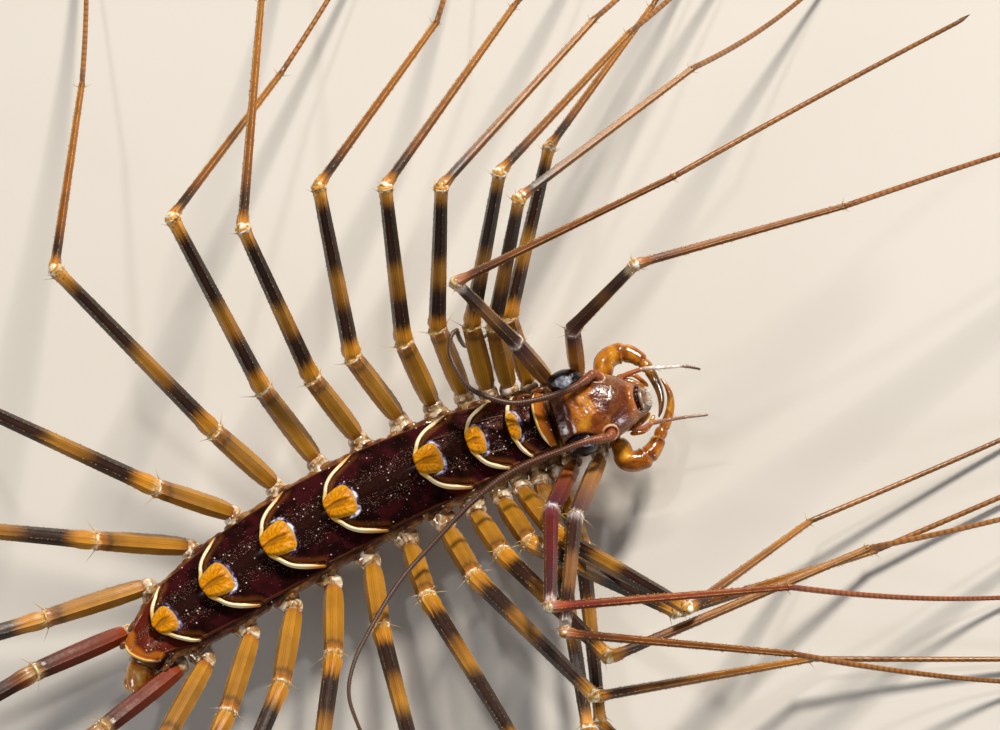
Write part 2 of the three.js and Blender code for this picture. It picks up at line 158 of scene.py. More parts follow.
# Colours or numbers at places from 0 to 1.
def ramp(factor, stops, smooth=False):
    made = addNode("ValToRGB", None, {0: factor})
    band = made.color_ramp
    band.interpolation = "EASE" if smooth else "LINEAR"
    while len(band.elements) < len(stops):
        band.elements.new(0.5)
    for element, (at, tint) in zip(band.elements, sorted(stops, key=lambda stop: stop[0])):
        element.position = at
        element.color = colour(tint) if isinstance(tint, str) else (tint, tint, tint, 1)
    return made.outputs[0]


def mix(factor, a, b, blend="MIX"):
    tints = {0: factor, 6: a, 7: colour(b) if isinstance(b, str) else b}
    return addNode("Mix", {"data_type": "RGBA", "blend_type": blend}, tints).outputs[2]


def onPiece(inputs):
    return {"Vector": addNode("TexCoord").outputs["Object"], **inputs}


def noise(scale, detail=3.0, rough=0.5, distortion=0.0):
    inputs = {"Scale": scale, "Detail": detail, "Roughness": rough, "Distortion": distortion}
    return addNode("TexNoise", None, onPiece(inputs)).outputs[0]


# Small round grains: only a share of the cells carries one.
def strewn(scale, share, size):
    found = addNode("TexVoronoi", None, onPiece({"Scale": scale})).outputs
    picked = addNode("SeparateColor", None, {0: found["Color"]}).outputs[0]
    picked = maths("LESS_THAN", picked, share)
    return times(ramp(found["Distance"], [(0.0, 1.0), (size, 0.0)], True), picked)


# The three numbers that a mesh carries at each point under a name.
def field(name):
    found = addNode("Attribute", {"attribute_name": name})
    return addNode("SeparateXYZ", None, {0: found.outputs["Vector"]}).outputs


# Closes a look. relief is the bump's height, strength and distance; coat its weight and roughness;
# depth the weight of the light under the surface and how far each colour goes, in metres.
def finishLook(tone, rough, relief=None, coat=None, depth=None, more=None):
    inputs = {"Base Color": tone, "Roughness": rough}
    if relief:
        height = dict(zip(("Height", "Strength", "Distance"), relief))
        inputs["Normal"] = addNode("Bump", None, height).outputs[0]
    if coat:
        inputs["Coat Weight"], inputs["Coat Roughness"] = coat
    if depth:
        inputs["Subsurface Weight"], inputs["Subsurface Radius"] = depth
        inputs["Subsurface Scale"] = 1.0
    inputs.update(more or {})
    shader = addNode("BsdfPrincipled", None, inputs)
    addNode("OutputMaterial", None, {0: shader.outputs[0]})


# A shape gathers points with two sets of three numbers each, place and trait, which the looks read.
def newShape():
    return {"points": [], "faces": [], "kinds": [], "place": [], "trait": [], "size": 0}


def addPart(shape, points, faces, place, trait, kind=0):
    for block in faces:
        shape["faces"].extend((np.asarray(block) + shape["size"]).tolist())
        shape["kinds"].extend([kind] * len(block))
    shape["points"].append(np.asarray(points, float))
    for key, value in (("place", place), ("trait", trait)):
        shape[key].append(np.broadcast_to(np.asarray(value, float), (len(points), 3)))
    shape["size"] += len(points)


def gridFaces(rows, columns, closed):
    across = np.arange(columns if closed else columns - 1)
    along = np.arange(rows - 1)[:, None] * columns
    a = along + across
    b = along + (across + 1) % columns
    return np.stack([a, b, b + columns, a + columns], -1).reshape(-1, 4)


# Rings in a row, closed by a point at each end. Both rings and ends give points, place and trait.
def addCapped(shape, rows, columns, rings, ends, kind=0):
    ring = np.arange(columns)
    follow, last, size = (ring + 1) % columns, (rows - 1) * columns, rows * columns
    first = np.stack([np.full(columns, size), follow, ring], -1)
    final = np.stack([np.full(columns, size + 1), ring + last, follow + last], -1)
    faces = [gridFaces(rows, columns, True), first, final]
    points, place, trait = (
        np.concatenate([row.reshape(-1, 3), end]) for row, end in zip(rings, ends))
    addPart(shape, points, faces, place, trait, kind)


def framesAlong(centres):
    ahead = unit(np.gradient(centres, axis=0))
    overs, over = [], skyward
    for direction in ahead:
        over = unit(over - direction * over.dot(direction))
        overs.append(over)
    overs = np.array(overs)
    return np.cross(overs, ahead), overs, ahead


# A closed tube through centres, with one section outline, or one for each ring, scaled at each ring.
def addTube(shape, centres, wide, high, section, along, kind=0, edge=0.0, seed=0.0, frames=None):
    centres = np.asarray(centres, float)
    rows = len(centres)
    section = np.broadcast_to(section, (rows,) + section.shape[-2:])
    columns = section.shape[1]
    sides, overs = (frames or framesAlong(centres))[:2]
    wide, high = (np.broadcast_to(size, rows)[:, None, None] for size in (wide, high))
    points = (centres[:, None] + sides[:, None] * section[..., :1] * wide
              + overs[:, None] * section[..., 1:] * high)
    along = np.broadcast_to(along, rows)
    start = np.broadcast_to(along[:, None, None], (rows, columns, 1))
    place = np.concatenate([start, unit(section)], -1)
    trait = np.zeros((rows, columns, 3))
    trait[..., 0] = edge
    trait[..., 1] = np.linspace(0, 1, rows)[:, None]
    trait[..., 2] = seed
    ends = centres[[0, -1]], [[along[0], 0, 0], [along[-1], 0, 0]], [[0, 0, seed], [0, 1, seed]]
    addCapped(shape, rows, columns, (points, place, trait), ends, kind)


def roundSection(count):
    turn = turnsRound(count)
    return np.stack([np.cos(turn), np.sin(turn)], -1)


# A many-sided outline with a narrow keel along each corner; edge is 1 at the corners.
def ridgedSection(count, sides, keel, flat):
    turn = turnsRound(count)
    within = (turn * sides / (2 * np.pi)) % 1 - 0.5
    reach = lerp(1, np.cos(np.pi / sides) / np.cos(within * 2 * np.pi / sides), flat)
    edge = np.clip(1 - (0.5 - np.abs(within)) / 0.1, 0, 1)
    reach = reach + keel * edge
    return np.stack([np.cos(turn), np.sin(turn)], -1) * reach[:, None], edge


def addBall(shape, centre, radii, axes, kind, along, rows=9, columns=14):
    tilt = np.linspace(0.02, np.pi - 0.02, rows)
    centres = np.asarray(centre) + np.outer(np.cos(tilt) * radii[2], axes[2])
    frames = [np.repeat([axis], rows, 0) for axis in axes[:2]]
    size = np.sin(tilt)
    addTube(shape, centres, size * radii[0], size * radii[1], roundSection(columns), along, kind,
            frames=frames)


# Many small spines at once, leaning along their directions. Each has three sides and a patch of
# its own, at its root's place, on the piece's second map, OFBake.
spine = {"corners": (0.5, 2.594, 4.689), "sunk": 0.15, "patch": 0.003}


def addSpines(shape, roots, directions, lengths, widths, along, patches):
    roots = np.asarray(roots, float)
    count = len(roots)
    directions = np.broadcast_to(unit(directions), (count, 3))
    helper = np.where(np.abs(directions[:, 2:]) > 0.9, [[1.0, 0, 0]], [skyward])
    side = unit(np.cross(directions, helper))
    over = np.cross(side, directions)
    lengths, widths = (np.broadcast_to(size, count)[:, None] for size in (lengths, widths))
    base = roots - directions * lengths * spine["sunk"]
    ring = [base + (side * np.cos(a) + over * np.sin(a)) * widths for a in spine["corners"]]
    points = np.stack(ring + [roots + directions * lengths], 1)
    start = np.arange(count)[:, None] * 4
    faces = [start + np.array([trio]) for trio in ((0, 1, 3), (1, 2, 3), (2, 0, 3), (0, 2, 1))]
    place, trait = np.zeros((count, 4, 3)), np.zeros((count, 4, 3))
    place[..., 0] = np.broadcast_to(along, count)[:, None]
    trait[:, 3, 1] = 1
    trait[..., 2] = chance.random(count)[:, None]
    addPart(shape, points.reshape(-1, 3), faces, place.reshape(-1, 3), trait.reshape(-1, 3))
    corners = (np.array([[0, 0], [1, 0], [0, 1], [1, 1]]) - 0.5) * spine["patch"]
    patches = (np.asarray(patches)[:, None] + corners).reshape(-1, 2)
    shape.setdefault("patches", []).append(patches)


# Hairs on a thin rod that leave some of its rings at random turns.
def addHairsRound(shape, which, centres, radius, rows, lean, length, spread, width):
    sides, overs, ahead = framesAlong(centres)
    turn = chance.uniform(0, 2 * np.pi, len(rows))
    out = sides[rows] * np.cos(turn)[:, None] + overs[rows] * np.sin(turn)[:, None]
    t = np.linspace(0, 1, len(centres))[rows]
    half = 0.5 if which == "right" else 0
    patches = np.stack([turn / (2 * np.pi) * 0.45 + half + 0.01, t * 0.98 + 0.01], -1)
    addSpines(shape, centres[rows] + out * radius[rows][:, None] * 0.95, out + ahead[rows] * lean,
              length * chance.uniform(*spread, len(rows)), width, t, patches)


def spineLook(name, root, tip):
    look = newLook(name)
    along, own = field("trait")[1:]
    tone = ramp(along, [(0.0, root), (0.55, tip), (1.0, tip)])
    finishLook(mix(times(own, 0.5), tone, root), 0.22, coat=(0.4, 0.08))
    return look


def makePiece(name, shape, looks, nodes, sharp=None):
    mesh = bpy.data.meshes.new(name)
    points = np.concatenate(shape["points"]) * body["metres"]
    mesh.from_pydata(points.tolist(), [], shape["faces"])
    mesh.polygons.foreach_set("material_index", shape["kinds"])
    for key in ("place", "trait"):
        layer = mesh.attributes.new(key, "FLOAT_VECTOR", "POINT")
        layer.data.foreach_set("vector", np.concatenate(shape[key]).ravel())
    if "patches" in shape:
        corners = np.zeros(len(mesh.loops), int)
        mesh.loops.foreach_get("vertex_index", corners)
        layer = mesh.uv_layers.new(name="OFBake")
        layer.data.foreach_set("uv", np.concatenate(shape["patches"])[corners].ravel())
    else:
        work = bmesh.new()
        work.from_mesh(mesh)
        bmesh.ops.recalc_face_normals(work, faces=work.faces)
        work.to_mesh(mesh)
        work.free()
    mesh.shade_smooth()
    if sharp:
        mesh.set_sharp_from_angle(angle=math.radians(sharp))
    for look in looks:
        mesh.materials.append(look)
    piece = bpy.data.objects.new(name, mesh)
    bpy.context.scene.collection.objects.link(piece)
    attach(piece, "root")
    if nodes:
        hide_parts(*nodes)


# Points along a smooth curve through the given places, evenly spaced (a centripetal spline).
def smoothPath(places, count):
    points = np.asarray(places, float)
    points = np.concatenate([2 * points[:1] - points[1:2], points, 2 * points[-1:] - points[-2:-1]])
    fine = []
    for p0, p1, p2, p3 in zip(points, points[1:], points[2:], points[3:]):
        pairs = ((p0, p1), (p1, p2), (p2, p3))
        g0, g1, g2 = (max(np.linalg.norm(b - a) ** 0.5, 1e-4) for a, b in pairs)
        m1 = ((p1 - p0) / g0 - (p2 - p0) / (g0 + g1) + (p2 - p1) / g1) * g1
        m2 = ((p2 - p1) / g1 - (p3 - p1) / (g1 + g2) + (p3 - p2) / g2) * g1
        t = np.linspace(0, 1, 40, endpoint=False)[:, None]
        fine.append(p1 + m1 * t + (3 * p2 - 3 * p1 - 2 * m1 - m2) * t ** 2
                    + (2 * p1 - 2 * p2 + m1 + m2) * t ** 3)
    fine.append(points[-2:-1])
    fine = np.concatenate(fine)
    steps = np.linalg.norm(np.diff(fine, axis=0), axis=1)
    walked = np.concatenate([[0], np.cumsum(steps)])
    at = np.linspace(0, walked[-1], count)
    return np.stack([np.interp(at, walked, fine[:, k]) for k in range(3)], -1), walked[-1]


# Camera at the photo's viewing angle, plain studio light and a pale floor.
camera = {
    "target": (43.78, 8.93, 12), "distance": 300, "tilt": 15, "roll": 27, "lens": 108, "sensor": 36,
    "clip": (0.01, 10),
}
lights = [  # from: to the right of the picture, up in it and towards the camera
    {"name": "key", "from": (0.3, 1.0, 0.75), "distance": 900, "size": 150, "power": 12.5,
     "tint": "fff6ea"},
    {"name": "glint", "from": (-0.22, 0.46, 0.86), "distance": 600, "size": 34, "power": 0.5,
     "tint": "ffffff"},
    {"name": "fill", "from": (1.4, -0.5, 0.8), "distance": 600, "size": 160, "power": 0.8,
     "tint": "eef3ff"},
    {"name": "back", "from": (-1.5, -0.7, 0.9), "distance": 600, "size": 160, "power": 0.8,
     "tint": "ffffff"},
]
room = {"tint": "dfe3e8", "strength": 0.14, "floor": ("c2beb7", "c8c4bd"), "reach": 1.6}


def setUp(name, data, side, over, away, distance):
    made = bpy.data.objects.new(name, data)
    place = (np.array(camera["target"]) + away * distance) * body["metres"]
    rows = [[side[i], over[i], away[i], place[i]] for i in range(3)]
    made.matrix_world = Matrix(rows + [[0, 0, 0, 1]])
    bpy.context.scene.collection.objects.link(made)
    return made


def makeCamera():
    tilt, roll = math.radians(camera["tilt"]), math.radians(camera["roll"])
    away = np.array([0, -math.sin(tilt), math.cos(tilt)])
    level = np.array([0, math.cos(tilt), math.sin(tilt)])
    east = np.array([1.0, 0, 0])
    right = math.cos(roll) * east - math.sin(roll) * level
    up = math.sin(roll) * east + math.cos(roll) * level
    data = bpy.data.cameras.new("camera")
    data.lens, data.sensor_width = camera["lens"], camera["sensor"]
    data.clip_start, data.clip_end = camera["clip"]
    made = setUp("camera", data, right, up, away, camera["distance"])
    bpy.context.scene.camera = made
    return right, up, away


def makeLights(right, up, away):
    for light in lights:
        data = bpy.data.lights.new(light["name"], "AREA")
        data.shape = "DISK"
        data.size = light["size"] * body["metres"]
        data.energy = light["power"]
        data.color = colour(light["tint"])[:3]
        a, b, c = light["from"]
        outwards = unit(a * right + b * up + c * away)
        sideways = unit(np.cross(up, outwards))
        over = np.cross(outwards, sideways)
        setUp(light["name"], data, sideways, over, outwards, light["distance"])
    world = bpy.data.worlds.new("studio")
    world.use_nodes = True
    background = world.node_tree.nodes["Background"].inputs
    background[0].default_value = colour(room["tint"])
    background[1].default_value = room["strength"]
    bpy.context.scene.world = world
    bpy.context.scene.view_settings.view_transform = "Standard"


def makeFloor():
    look = newLook("pale_floor")
    finishLook(mix(noise(25.0, 2.0), *map(colour, room["floor"])), 0.75)
    mesh = bpy.data.meshes.new("floor")
    reach = room["reach"]
    corners = [(-reach, -reach, 0), (reach, -reach, 0), (reach, reach, 0), (-reach, reach, 0)]
    mesh.from_pydata(corners, [], [(0, 1, 2, 3)])
    mesh.materials.append(look)
    floor = bpy.data.objects.new("floor", mesh)
    bpy.context.scene.collection.objects.link(floor)


makeLights(*makeCamera())
makeFloor()
print("stage: camera, light and floor")


# The plates of the back from the neck to the tail: the station of the hind edge, half the width,
# how far the edge sweeps forward, the rise of the saddle, and half the width and the length of the
# yellow mark.
plates = [dict(zip(("name", "hind", "half", "sweep", "saddle", "mark"), row)) for row in (
    ("neck_plate", 17.65, 2.7, 0.8, 0, (0, 0)),
    ("tergite_1", 14.9, 3.15, 1.3, 0.28, (1.6, 1.25)),
    ("tergite_2", 10.6, 3.7, 3.0, 0.32, (1.6, 1.9)),
    ("tergite_3", 5.1, 4.2, 4.2, 0.4, (1.6, 2.8)),
    ("tergite_4", -4.8, 4.45, 4.4, 0.42, (1.65, 3.2)),
    ("tergite_5", -12.0, 4.45, 4.2, 0.42, (1.75, 3.4)),
    ("tergite_6", -19.2, 4.15, 3.6, 0.4, (1.7, 3.2)),
    ("tergite_7", -25.2, 3.4, 2.6, 0.34, (1.45, 2.4)),
    ("tergite_8", -28.6, 2.1, 1.0, 0, (0, 0)),
)]
plateShape = {
    "front": 19.0, "thickness": 0.45, "lift": 1.0, "sunk": 0.05, "overlap": 0.24, "most": 1.2,
    "arch": 0.42, "bend": 2.2, "power": 2.9, "across": 120, "along": 96, "steps": 161,
    "rim": 0.42, "plainRim": 0.28, "sharp": 55,
}
markShape = {
    "at": [0, 0.08, 0.2, 0.4, 0.62, 0.85, 1.0], "wide": [0.5, 0.68, 0.84, 0.96, 1.0, 0.98, 0.9],
    "corner": 0.72, "none": -9.0,
}


def plateHalf(station):
    at = [plate["hind"] + 2 for plate in plates][::-1]
    return np.interp(station, at, [plate["half"] for plate in plates][::-1])


# The hind edge has a rounded middle, a slight hollow beside it and two convex lobes.
def hindEdge(plate, across):
    out = np.abs(across)
    waves = plate["sweep"] * out ** plateShape["power"]
    markHalf, markLong = plate["mark"]
    if markHalf:
        inner = markHalf / plate["half"]
        hollow, lobe = (out - inner * 0.45) / (inner * 0.7), (0.8 - out) / 0.4
        waves = waves + 0.08 * markLong * ease(hollow) * ease(lobe)
    return plate["hind"] + waves


def frontEdge(index, across):
    if index == 0:
        return plateShape["front"] + 0 * across
    ahead = plates[index - 1]
    before = plates[index - 2]["hind"] if index > 1 else plateShape["front"]
    under = min((before - ahead["hind"]) * plateShape["overlap"], plateShape["most"])
    return ahead["hind"] + under + ahead["sweep"] * np.abs(across) ** plateShape["power"]


def plateSurface(index, across, along):
    station = lerp(hindEdge(plates[index], across), frontEdge(index, across), along)
    half = plateHalf(station)
    even = np.clip(along, 0, 1) ** (1 / 1.15)
    lift = plateShape["lift"] * ease(1 - even) - plateShape["sunk"]
    drop = plateShape["arch"] * half * np.abs(across) ** plateShape["bend"]
    return station, across * half, body["back"] + lift - drop


# Shortest distance from places on the plate to its hind edge, in the flattened plate.
def edgeDistance(index, station, left):
    out = np.linspace(-1, 1, plateShape["steps"])
    hind = hindEdge(plates[index], out)
    rim = np.stack([hind, out * plateHalf(hind)], -1)
    flat = np.stack([station.ravel(), left.ravel()], -1)
    nearest = np.full(len(flat), 1e9)
    for a, b in zip(rim, rim[1:]):
        step = b - a
        t = np.clip(((flat - a) @ step) / step.dot(step), 0, 1)
        nearest = np.minimum(nearest, np.linalg.norm(flat - a - t[:, None] * step, axis=1))
    return nearest.reshape(station.shape)


# How deep inside the yellow mark a place is: positive inside, negative outside.
def markDepth(plate, left, behind):
    half, long = plate["mark"]
    if not half:
        return np.full(left.shape, markShape["none"])
    swell = half * np.interp(behind / long, markShape["at"], markShape["wide"])
    beside, before = swell - np.abs(left), markFront(plate, left) - behind
    corner = half * markShape["corner"]
    rounded = corner - np.hypot(np.maximum(corner - beside, 0), np.maximum(corner - before, 0))
    return np.where(np.maximum(beside, before) > corner, np.minimum(beside, before), rounded)


# The front edge of the mark, a little rounded.
def markFront(plate, left):
    half, long = plate["mark"]
    return long * (1 - 0.09 * (left / max(half, 1)) ** 2)


# The mark stands up as a saddle with fine rays, a slit between two lips and a fold on each side.
def markRelief(plate, left, behind):
    half, long = plate["mark"]
    inside, share, out = markDepth(plate, left, behind), behind / long, np.abs(left)
    raised = ease(inside / 0.6 + 0.3) * (1 - 0.45 * ease((share - 0.5) / 0.5))
    yield plate["saddle"] * 1.15 * raised
    turn = np.arctan2(left, behind - long * 0.4)
    spread = np.clip(np.hypot(left, behind - long * 0.4) / half, 0, 1)
    yield 0.014 * np.sin(turn * 12 + 2.0 * np.sin(turn * 5)) * spread * ease(inside / 0.25)
    gape = 0.05 + 0.13 * hump(share - 0.4, 0.28)
    yield -0.13 * np.exp(-(left / gape) ** 4) * ease((long * 0.85 - behind) / 0.3)
    yield 0.07 * hump(out - gape - 0.12, 0.1) * ease((long * 0.85 - behind) / 0.4)
    yield -0.07 * hump(out - 0.52 * half * behind / long - 0.1, 0.1) * ease(inside / 0.3)


# Heights over the plate's plain surface; the hind edge is a raised rim with a groove before it.
def plateRelief(plate, left, behind, edge, half):
    markHalf, out = plate["mark"][0], np.abs(left)
    side = half - out
    relief = 0.04 * hump(left, 1.4)
    relief += 0.05 * np.sin(behind * 0.9 + left) * ease((out - 1) / 1.5)
    beside = 1
    if markHalf:
        for rise in markRelief(plate, left, behind):
            relief += rise
        beside = ease((out - markHalf * 0.92) / 0.3)
    fade = ease((1 - out / half) / 0.06)
    rim = plateShape["rim" if markHalf else "plainRim"] * (1 - 0.5 * ease(1 - side / 1.3))
    border = 0.15 * hump(edge - rim * 0.5, rim * 0.36) - 0.09 * hump(edge - rim * 1.35, 0.16)
    relief += border * beside * fade
    relief += 0.12 * hump(edge - 1.4, 0.9) * beside
    relief += 0.05 * hump(side - 0.12, 0.08)
    relief -= 0.03 * hump(side - 0.32, 0.1)
    relief -= 0.22 * (1 - dome(edge, 0.2))
    relief -= 0.18 * (1 - dome(side, 0.16))
    return relief


def makePlate(index):
    plate = plates[index]
    columns, rows = plateShape["across"] + 1, plateShape["along"] + 1
    even, steps = np.linspace(-1, 1, columns), np.linspace(0, 1, rows)
    out = np.abs(even)
    across = np.sign(even) * (out * 0.75 + 0.25 * np.sin(out * np.pi / 2))
    along = 0.42 * steps + 0.58 * steps ** 2.2
    across, along = np.meshgrid(across, along)
    station, left, height = plateSurface(index, across, along)
    half = plateHalf(station)
    behind = station - hindEdge(plate, across)
    edge = edgeDistance(index, station, left)
    side = half - np.abs(left)
    relief = plateRelief(plate, left, behind, edge, half)
    thickness = plateShape["thickness"] * lerp(0.55, 1, ease(edge / 0.8) * ease(side / 0.5))
    top, low = (bodyPoint(station, left, height + off) for off in (relief, -thickness))
    place = np.stack([left, edge, markDepth(plate, left, behind)], -1).reshape(-1, 3)
    beyond = 6 * np.maximum(np.abs(left) / max(plate["mark"][0], 1) - 0.85, 0)
    ahead = markFront(plate, left) - behind - beyond
    trait = np.stack([ahead, behind, side], -1).reshape(-1, 3)
    size = rows * columns
    upper = gridFaces(rows, columns, False)
    border = np.concatenate([
        np.arange(columns), np.arange(1, rows) * columns + columns - 1,
        np.arange(columns - 2, -1, -1) + (rows - 1) * columns,
        np.arange(rows - 2, 0, -1) * columns,
    ])
    follow = np.roll(border, -1)
    wall = np.stack([border, follow, follow + size, border + size], -1)
    shape = newShape()
    points = np.concatenate([top.reshape(-1, 3), low.reshape(-1, 3)])
    faces = [upper, upper + size, wall]
    addPart(shape, points, faces, np.tile(place, (2, 1)), np.tile(trait, (2, 1)))
    name = plate["name"]
    makePiece(name + "_shell", shape, [plateLook], [name], plateShape["sharp"])


def makePlateLook():
    look = newLook("plate")
    left, edge, inside = field("place")
    ahead, behind, side = field("trait")
    out = maths("ABSOLUTE", left)
    outward = times(out, 0.2)
    soft, fine = noise(420.0, 4.0, 0.6), noise(2600.0, 4.0, 0.6)
    # dark red-brown, blacker along the middle, brown at the sides
    blotch = [(0.38, "120706"), (0.48, "1e0b0b"), (0.58, "330f12"), (0.72, "260c0e")]
    middle = times(plus(out, times(soft, 2.4)), 0.2)
    flank = ramp(middle, [(0.25, 0.0), (0.85, 1.0)], True)
    tone = mix(flank, colour("160806"), ramp(soft, blotch, True))
    tone = mix(ramp(side, [(0.10, 1.0), (0.26, 0.0)]), tone, "4e2a1a")
    # an amber band before the lobes' rim, with a dark groove that is painted shade
    warm = ramp(times(edge, 0.5), [(0.0, 0.0), (0.20, 0.6), (0.34, 0.5), (0.62, 0.0)], True)
    lobes = ramp(outward, [(0.26, 0.0), (0.36, 1.0), (0.74, 0.75), (0.86, 0.0)], True)
    tone = mix(times(warm, lobes, soft), tone, "9a5a1c")
    grooveShade = ramp(edge, [(0.40, 0.0), (0.46, 0.85), (0.54, 0.85), (0.68, 0.0)])
    tone = mix(grooveShade, tone, "1c0c08")
    # the two plates without a mark are warmer
    unmarked = maths("LESS_THAN", inside, -8.0)
    band = [(0.2, 0.0), (0.34, 0.95), (0.5, 0.8), (0.7, 0.0)]
    amberBand = ramp(times(plus(edge, soft), 0.4), band, True)
    tone = mix(times(unmarked, 0.65), tone, "5c2010")
    tone = mix(times(amberBand, unmarked), tone, "a85e18")
    # the pale rim
    narrow = ramp(side, [(0.1, 0.2), (0.95, 0.0)], True)
    rimEdge = plus(edge, times(minus(fine, 0.5), 0.08), times(unmarked, 0.15), narrow)
    rim = ramp(rimEdge, [(0.38, 1.0), (0.42, 0.0)])
    rimTones = [(0.30, "d8b468"), (0.40, "efe2c0"), (0.68, "f2e4b8"), (0.84, "cf9440")]
    rimTone = mix(times(fine, 0.3), ramp(outward, rimTones), "c69a58")
    tone = mix(rim, tone, rimTone)
    # a painted blue-grey sheen with white glints close round the mark
    paintedSheen = [(0.32, 0.0), (0.43, 0.75), (0.49, 1.0), (0.54, 0.9), (0.56, 0.0)]
    paintedSheen = ramp(maths("MULTIPLY_ADD", inside, 0.5, 0.5), paintedSheen, True)
    paintedSheen = times(paintedSheen, ramp(plus(ahead, 0.3), [(0.35, 1.0), (0.9, 0.0)]))
    glint = [(0.41, "0e0a14"), (0.48, "2e2c50"), (0.54, "7c7ca8"), (0.6, "e4e4f6")]
    tone = mix(times(paintedSheen, minus(1.0, rim)), tone, ramp(noise(1100.0), glint))
    # the yellow mark: its fine rays and its slit are painted darker as shade in the folds, and its
    # front is paler and greyer
    radial = maths("ARCTAN2", left, minus(behind, 1.3))
    rays = maths("SINE", plus(times(radial, 15.0), times(fine, 7.0)))
    rays = maths("MULTIPLY_ADD", rays, 0.5, 0.5)
    yellow = ramp(fine, [(0.30, "a86206"), (0.5, "bb7808"), (0.7, "c68a0c")], True)
    yellow = mix(ramp(times(out, 0.5), [(0.3, 0.0), (0.9, 0.6)]), yellow, "d6a028")
    yellow = mix(ramp(rays, [(0.0, 0.4), (0.35, 0.0)]), yellow, "7c450a")
    fold = times(ramp(behind, [(0.0, 0.2), (1.0, 1.0)]), 0.22)
    slit = ramp(minus(out, fold), [(0.0, 0.85), (0.03, 1.0), (0.12, 0.0)])
    slit = times(slit, ramp(ahead, [(0.4, 0.0), (0.9, 1.0)]))
    yellow = mix(times(slit, 0.8), yellow, "7a4e16")
    yellow = mix(ramp(ahead, [(0.0, 0.8), (0.22, 0.35), (0.45, 0.0)]), yellow, "b09a74")
    yellow = mix(ramp(inside, [(0.0, 0.7), (0.12, 0.0)]), yellow, "a07a42")
    spot = ramp(plus(inside, times(fine, 0.06)), [(0.02, 0.0), (0.06, 1.0)])
    tone = mix(spot, tone, yellow)
    # the middle is set with small beads whose tips are painted pale as glints, the sides are smoother
    dull = times(ramp(outward, [(0.2, 1.0), (0.5, 0.0)], True), minus(1.0, spot))
    grainy = ramp(middle, [(0.22, 0.25), (0.34, 1.0), (0.56, 0.75), (0.72, 0.1)], True)
    grainy = times(grainy, ramp(maths("MAXIMUM", spot, rim), [(0.0, 1.0), (1.0, 0.1)]))
    grainsWithPaintedGlints = strewn(2300.0, times(grainy, 0.42), 0.4)
    tone = mix(ramp(grainsWithPaintedGlints, [(0.52, 0.0), (0.76, 0.9)]), tone, "dccac4")
    shine = plus(ramp(fine, [(0.35, 0.13), (0.65, 0.24)]), times(dull, 0.14))
    rumpled = times(noise(1500.0, 3.0, 0.6), maths("MULTIPLY_ADD", dull, 0.9, 0.35))
    relief = plus(rumpled, times(grainsWithPaintedGlints, 1.3))
    finishLook(tone, shine, (relief, 0.75, 0.00008), (0.02, 0.12), (0.04, (0.0006, 0.0002, 0.0001)),
               {"Specular IOR Level": 0.07, "Specular Tint": colour("ff9c84")})
    return look


# Two bands of tiny points along each plate, with a few more scattered over it; their pale tips are
# partly their own colour and partly a painted glint.
plateBristles = {
    "perLength": 52, "inner": 0.62, "outer": 2.4, "length": 0.12, "width": 0.03, "spread": 0.62,
    "edge": 0.95, "onMark": 0.35,
}


def makePlatePoints():
    shape = newShape()
    for index, plate in enumerate(plates):
        long = float(frontEdge(index, np.array(0.0)) - plate["hind"])
        count = int(plateBristles["perLength"] * long)
        inner = plateBristles["inner"]
        outer = min(plateBristles["outer"], plate["half"] * plateBristles["spread"])
        out = inner + (outer - inner) * chance.beta(1.3, 1.9, count)
        out[: count // 7] = plate["half"] * chance.uniform(0.15, 0.95, count // 7)
        left = out * chance.choice([-1, 1], count)
        along = chance.uniform(0.06, 0.9, count)
        across = left / plateHalf(plate["hind"] + along * long)
        station, left, height = plateSurface(index, across, along)
        behind = station - hindEdge(plate, across)
        edge = edgeDistance(index, station, left)
        height = height + plateRelief(plate, left, behind, edge, plateHalf(station))
        keep = np.abs(across) < plateBristles["edge"]
        if plate["mark"][0]:
            outside = markDepth(plate, left, behind) < -0.1
            keep &= outside | (chance.random(count) < plateBristles["onMark"])
        roots = bodyPoint(station, left, height)[keep]
        lean = bodyPoint(station - 1, left, height + 1.1)[keep] - roots
        lean = unit(lean) + chance.normal(0, 0.25, lean.shape)
        size = plateBristles["length"] * chance.uniform(0.6, 1.3, keep.sum())
        strip = (across[keep] + 1) / 2 * 0.09 + 0.1 * index + 0.005
        patches = np.stack([strip, along[keep] * 0.98 + 0.01], -1)
        addSpines(shape, roots, lean, size, plateBristles["width"], index, patches)
    # pale tips: partly their own colour, partly a painted glint
    makePiece("plate_points", shape, [spineLook("plate_point", "3a2018", "c0a894")], [])


plateLook = makePlateLook()
for plateIndex in range(len(plates)):
    makePlate(plateIndex)
makePlatePoints()
print("plates made")


# The legs, from the first pair to the last: where they leave the body, and the lengths of their
# segments at some of the pairs, with the others in between.
legs = {
    "station": [
        22.8, 19.9, 18.0, 16.1, 14.1, 11.8, 8.7, 5.2, 0.9, -3.6, -8.2, -13.0, -18.2, -23.6, -27.0,
    ],
    "spread": [4.5, 4.5, 4.9, 5.2, 5.6, 6.0, 6.2, 6.3, 6.3, 6.2, 6.1, 5.9, 5.6, 5.0, 3.3],
    "height": [10.0, 10.2, 9.8, 10.5, 11],
    "prefemur": {1: 10.2, 2: 9.2, 3: 7.6, 4: 8, 6: 8, 9: 8.8, 12: 9.4, 14: 10.6, 15: 10.6},
    "femur": {1: 17.4, 5: 17.6, 6: 16, 7: 16.7, 8: 17.8, 10: 20.2, 11: 22.8, 14: 26, 15: 27},
    "tibia": {1: 22, 3: 23.5, 5: 24, 7: 27.5, 8: 26.5, 11: 27.5, 14: 33, 15: 36},
    "tarsus": {1: 34, 7: 38, 14: 42, 15: 46},
    "foot": 0.22, "flat": 0.9, "trochanter": 1.0, "pairs": 15,
    "raised": {("left", 1): 14, ("left", 2): 24},
}
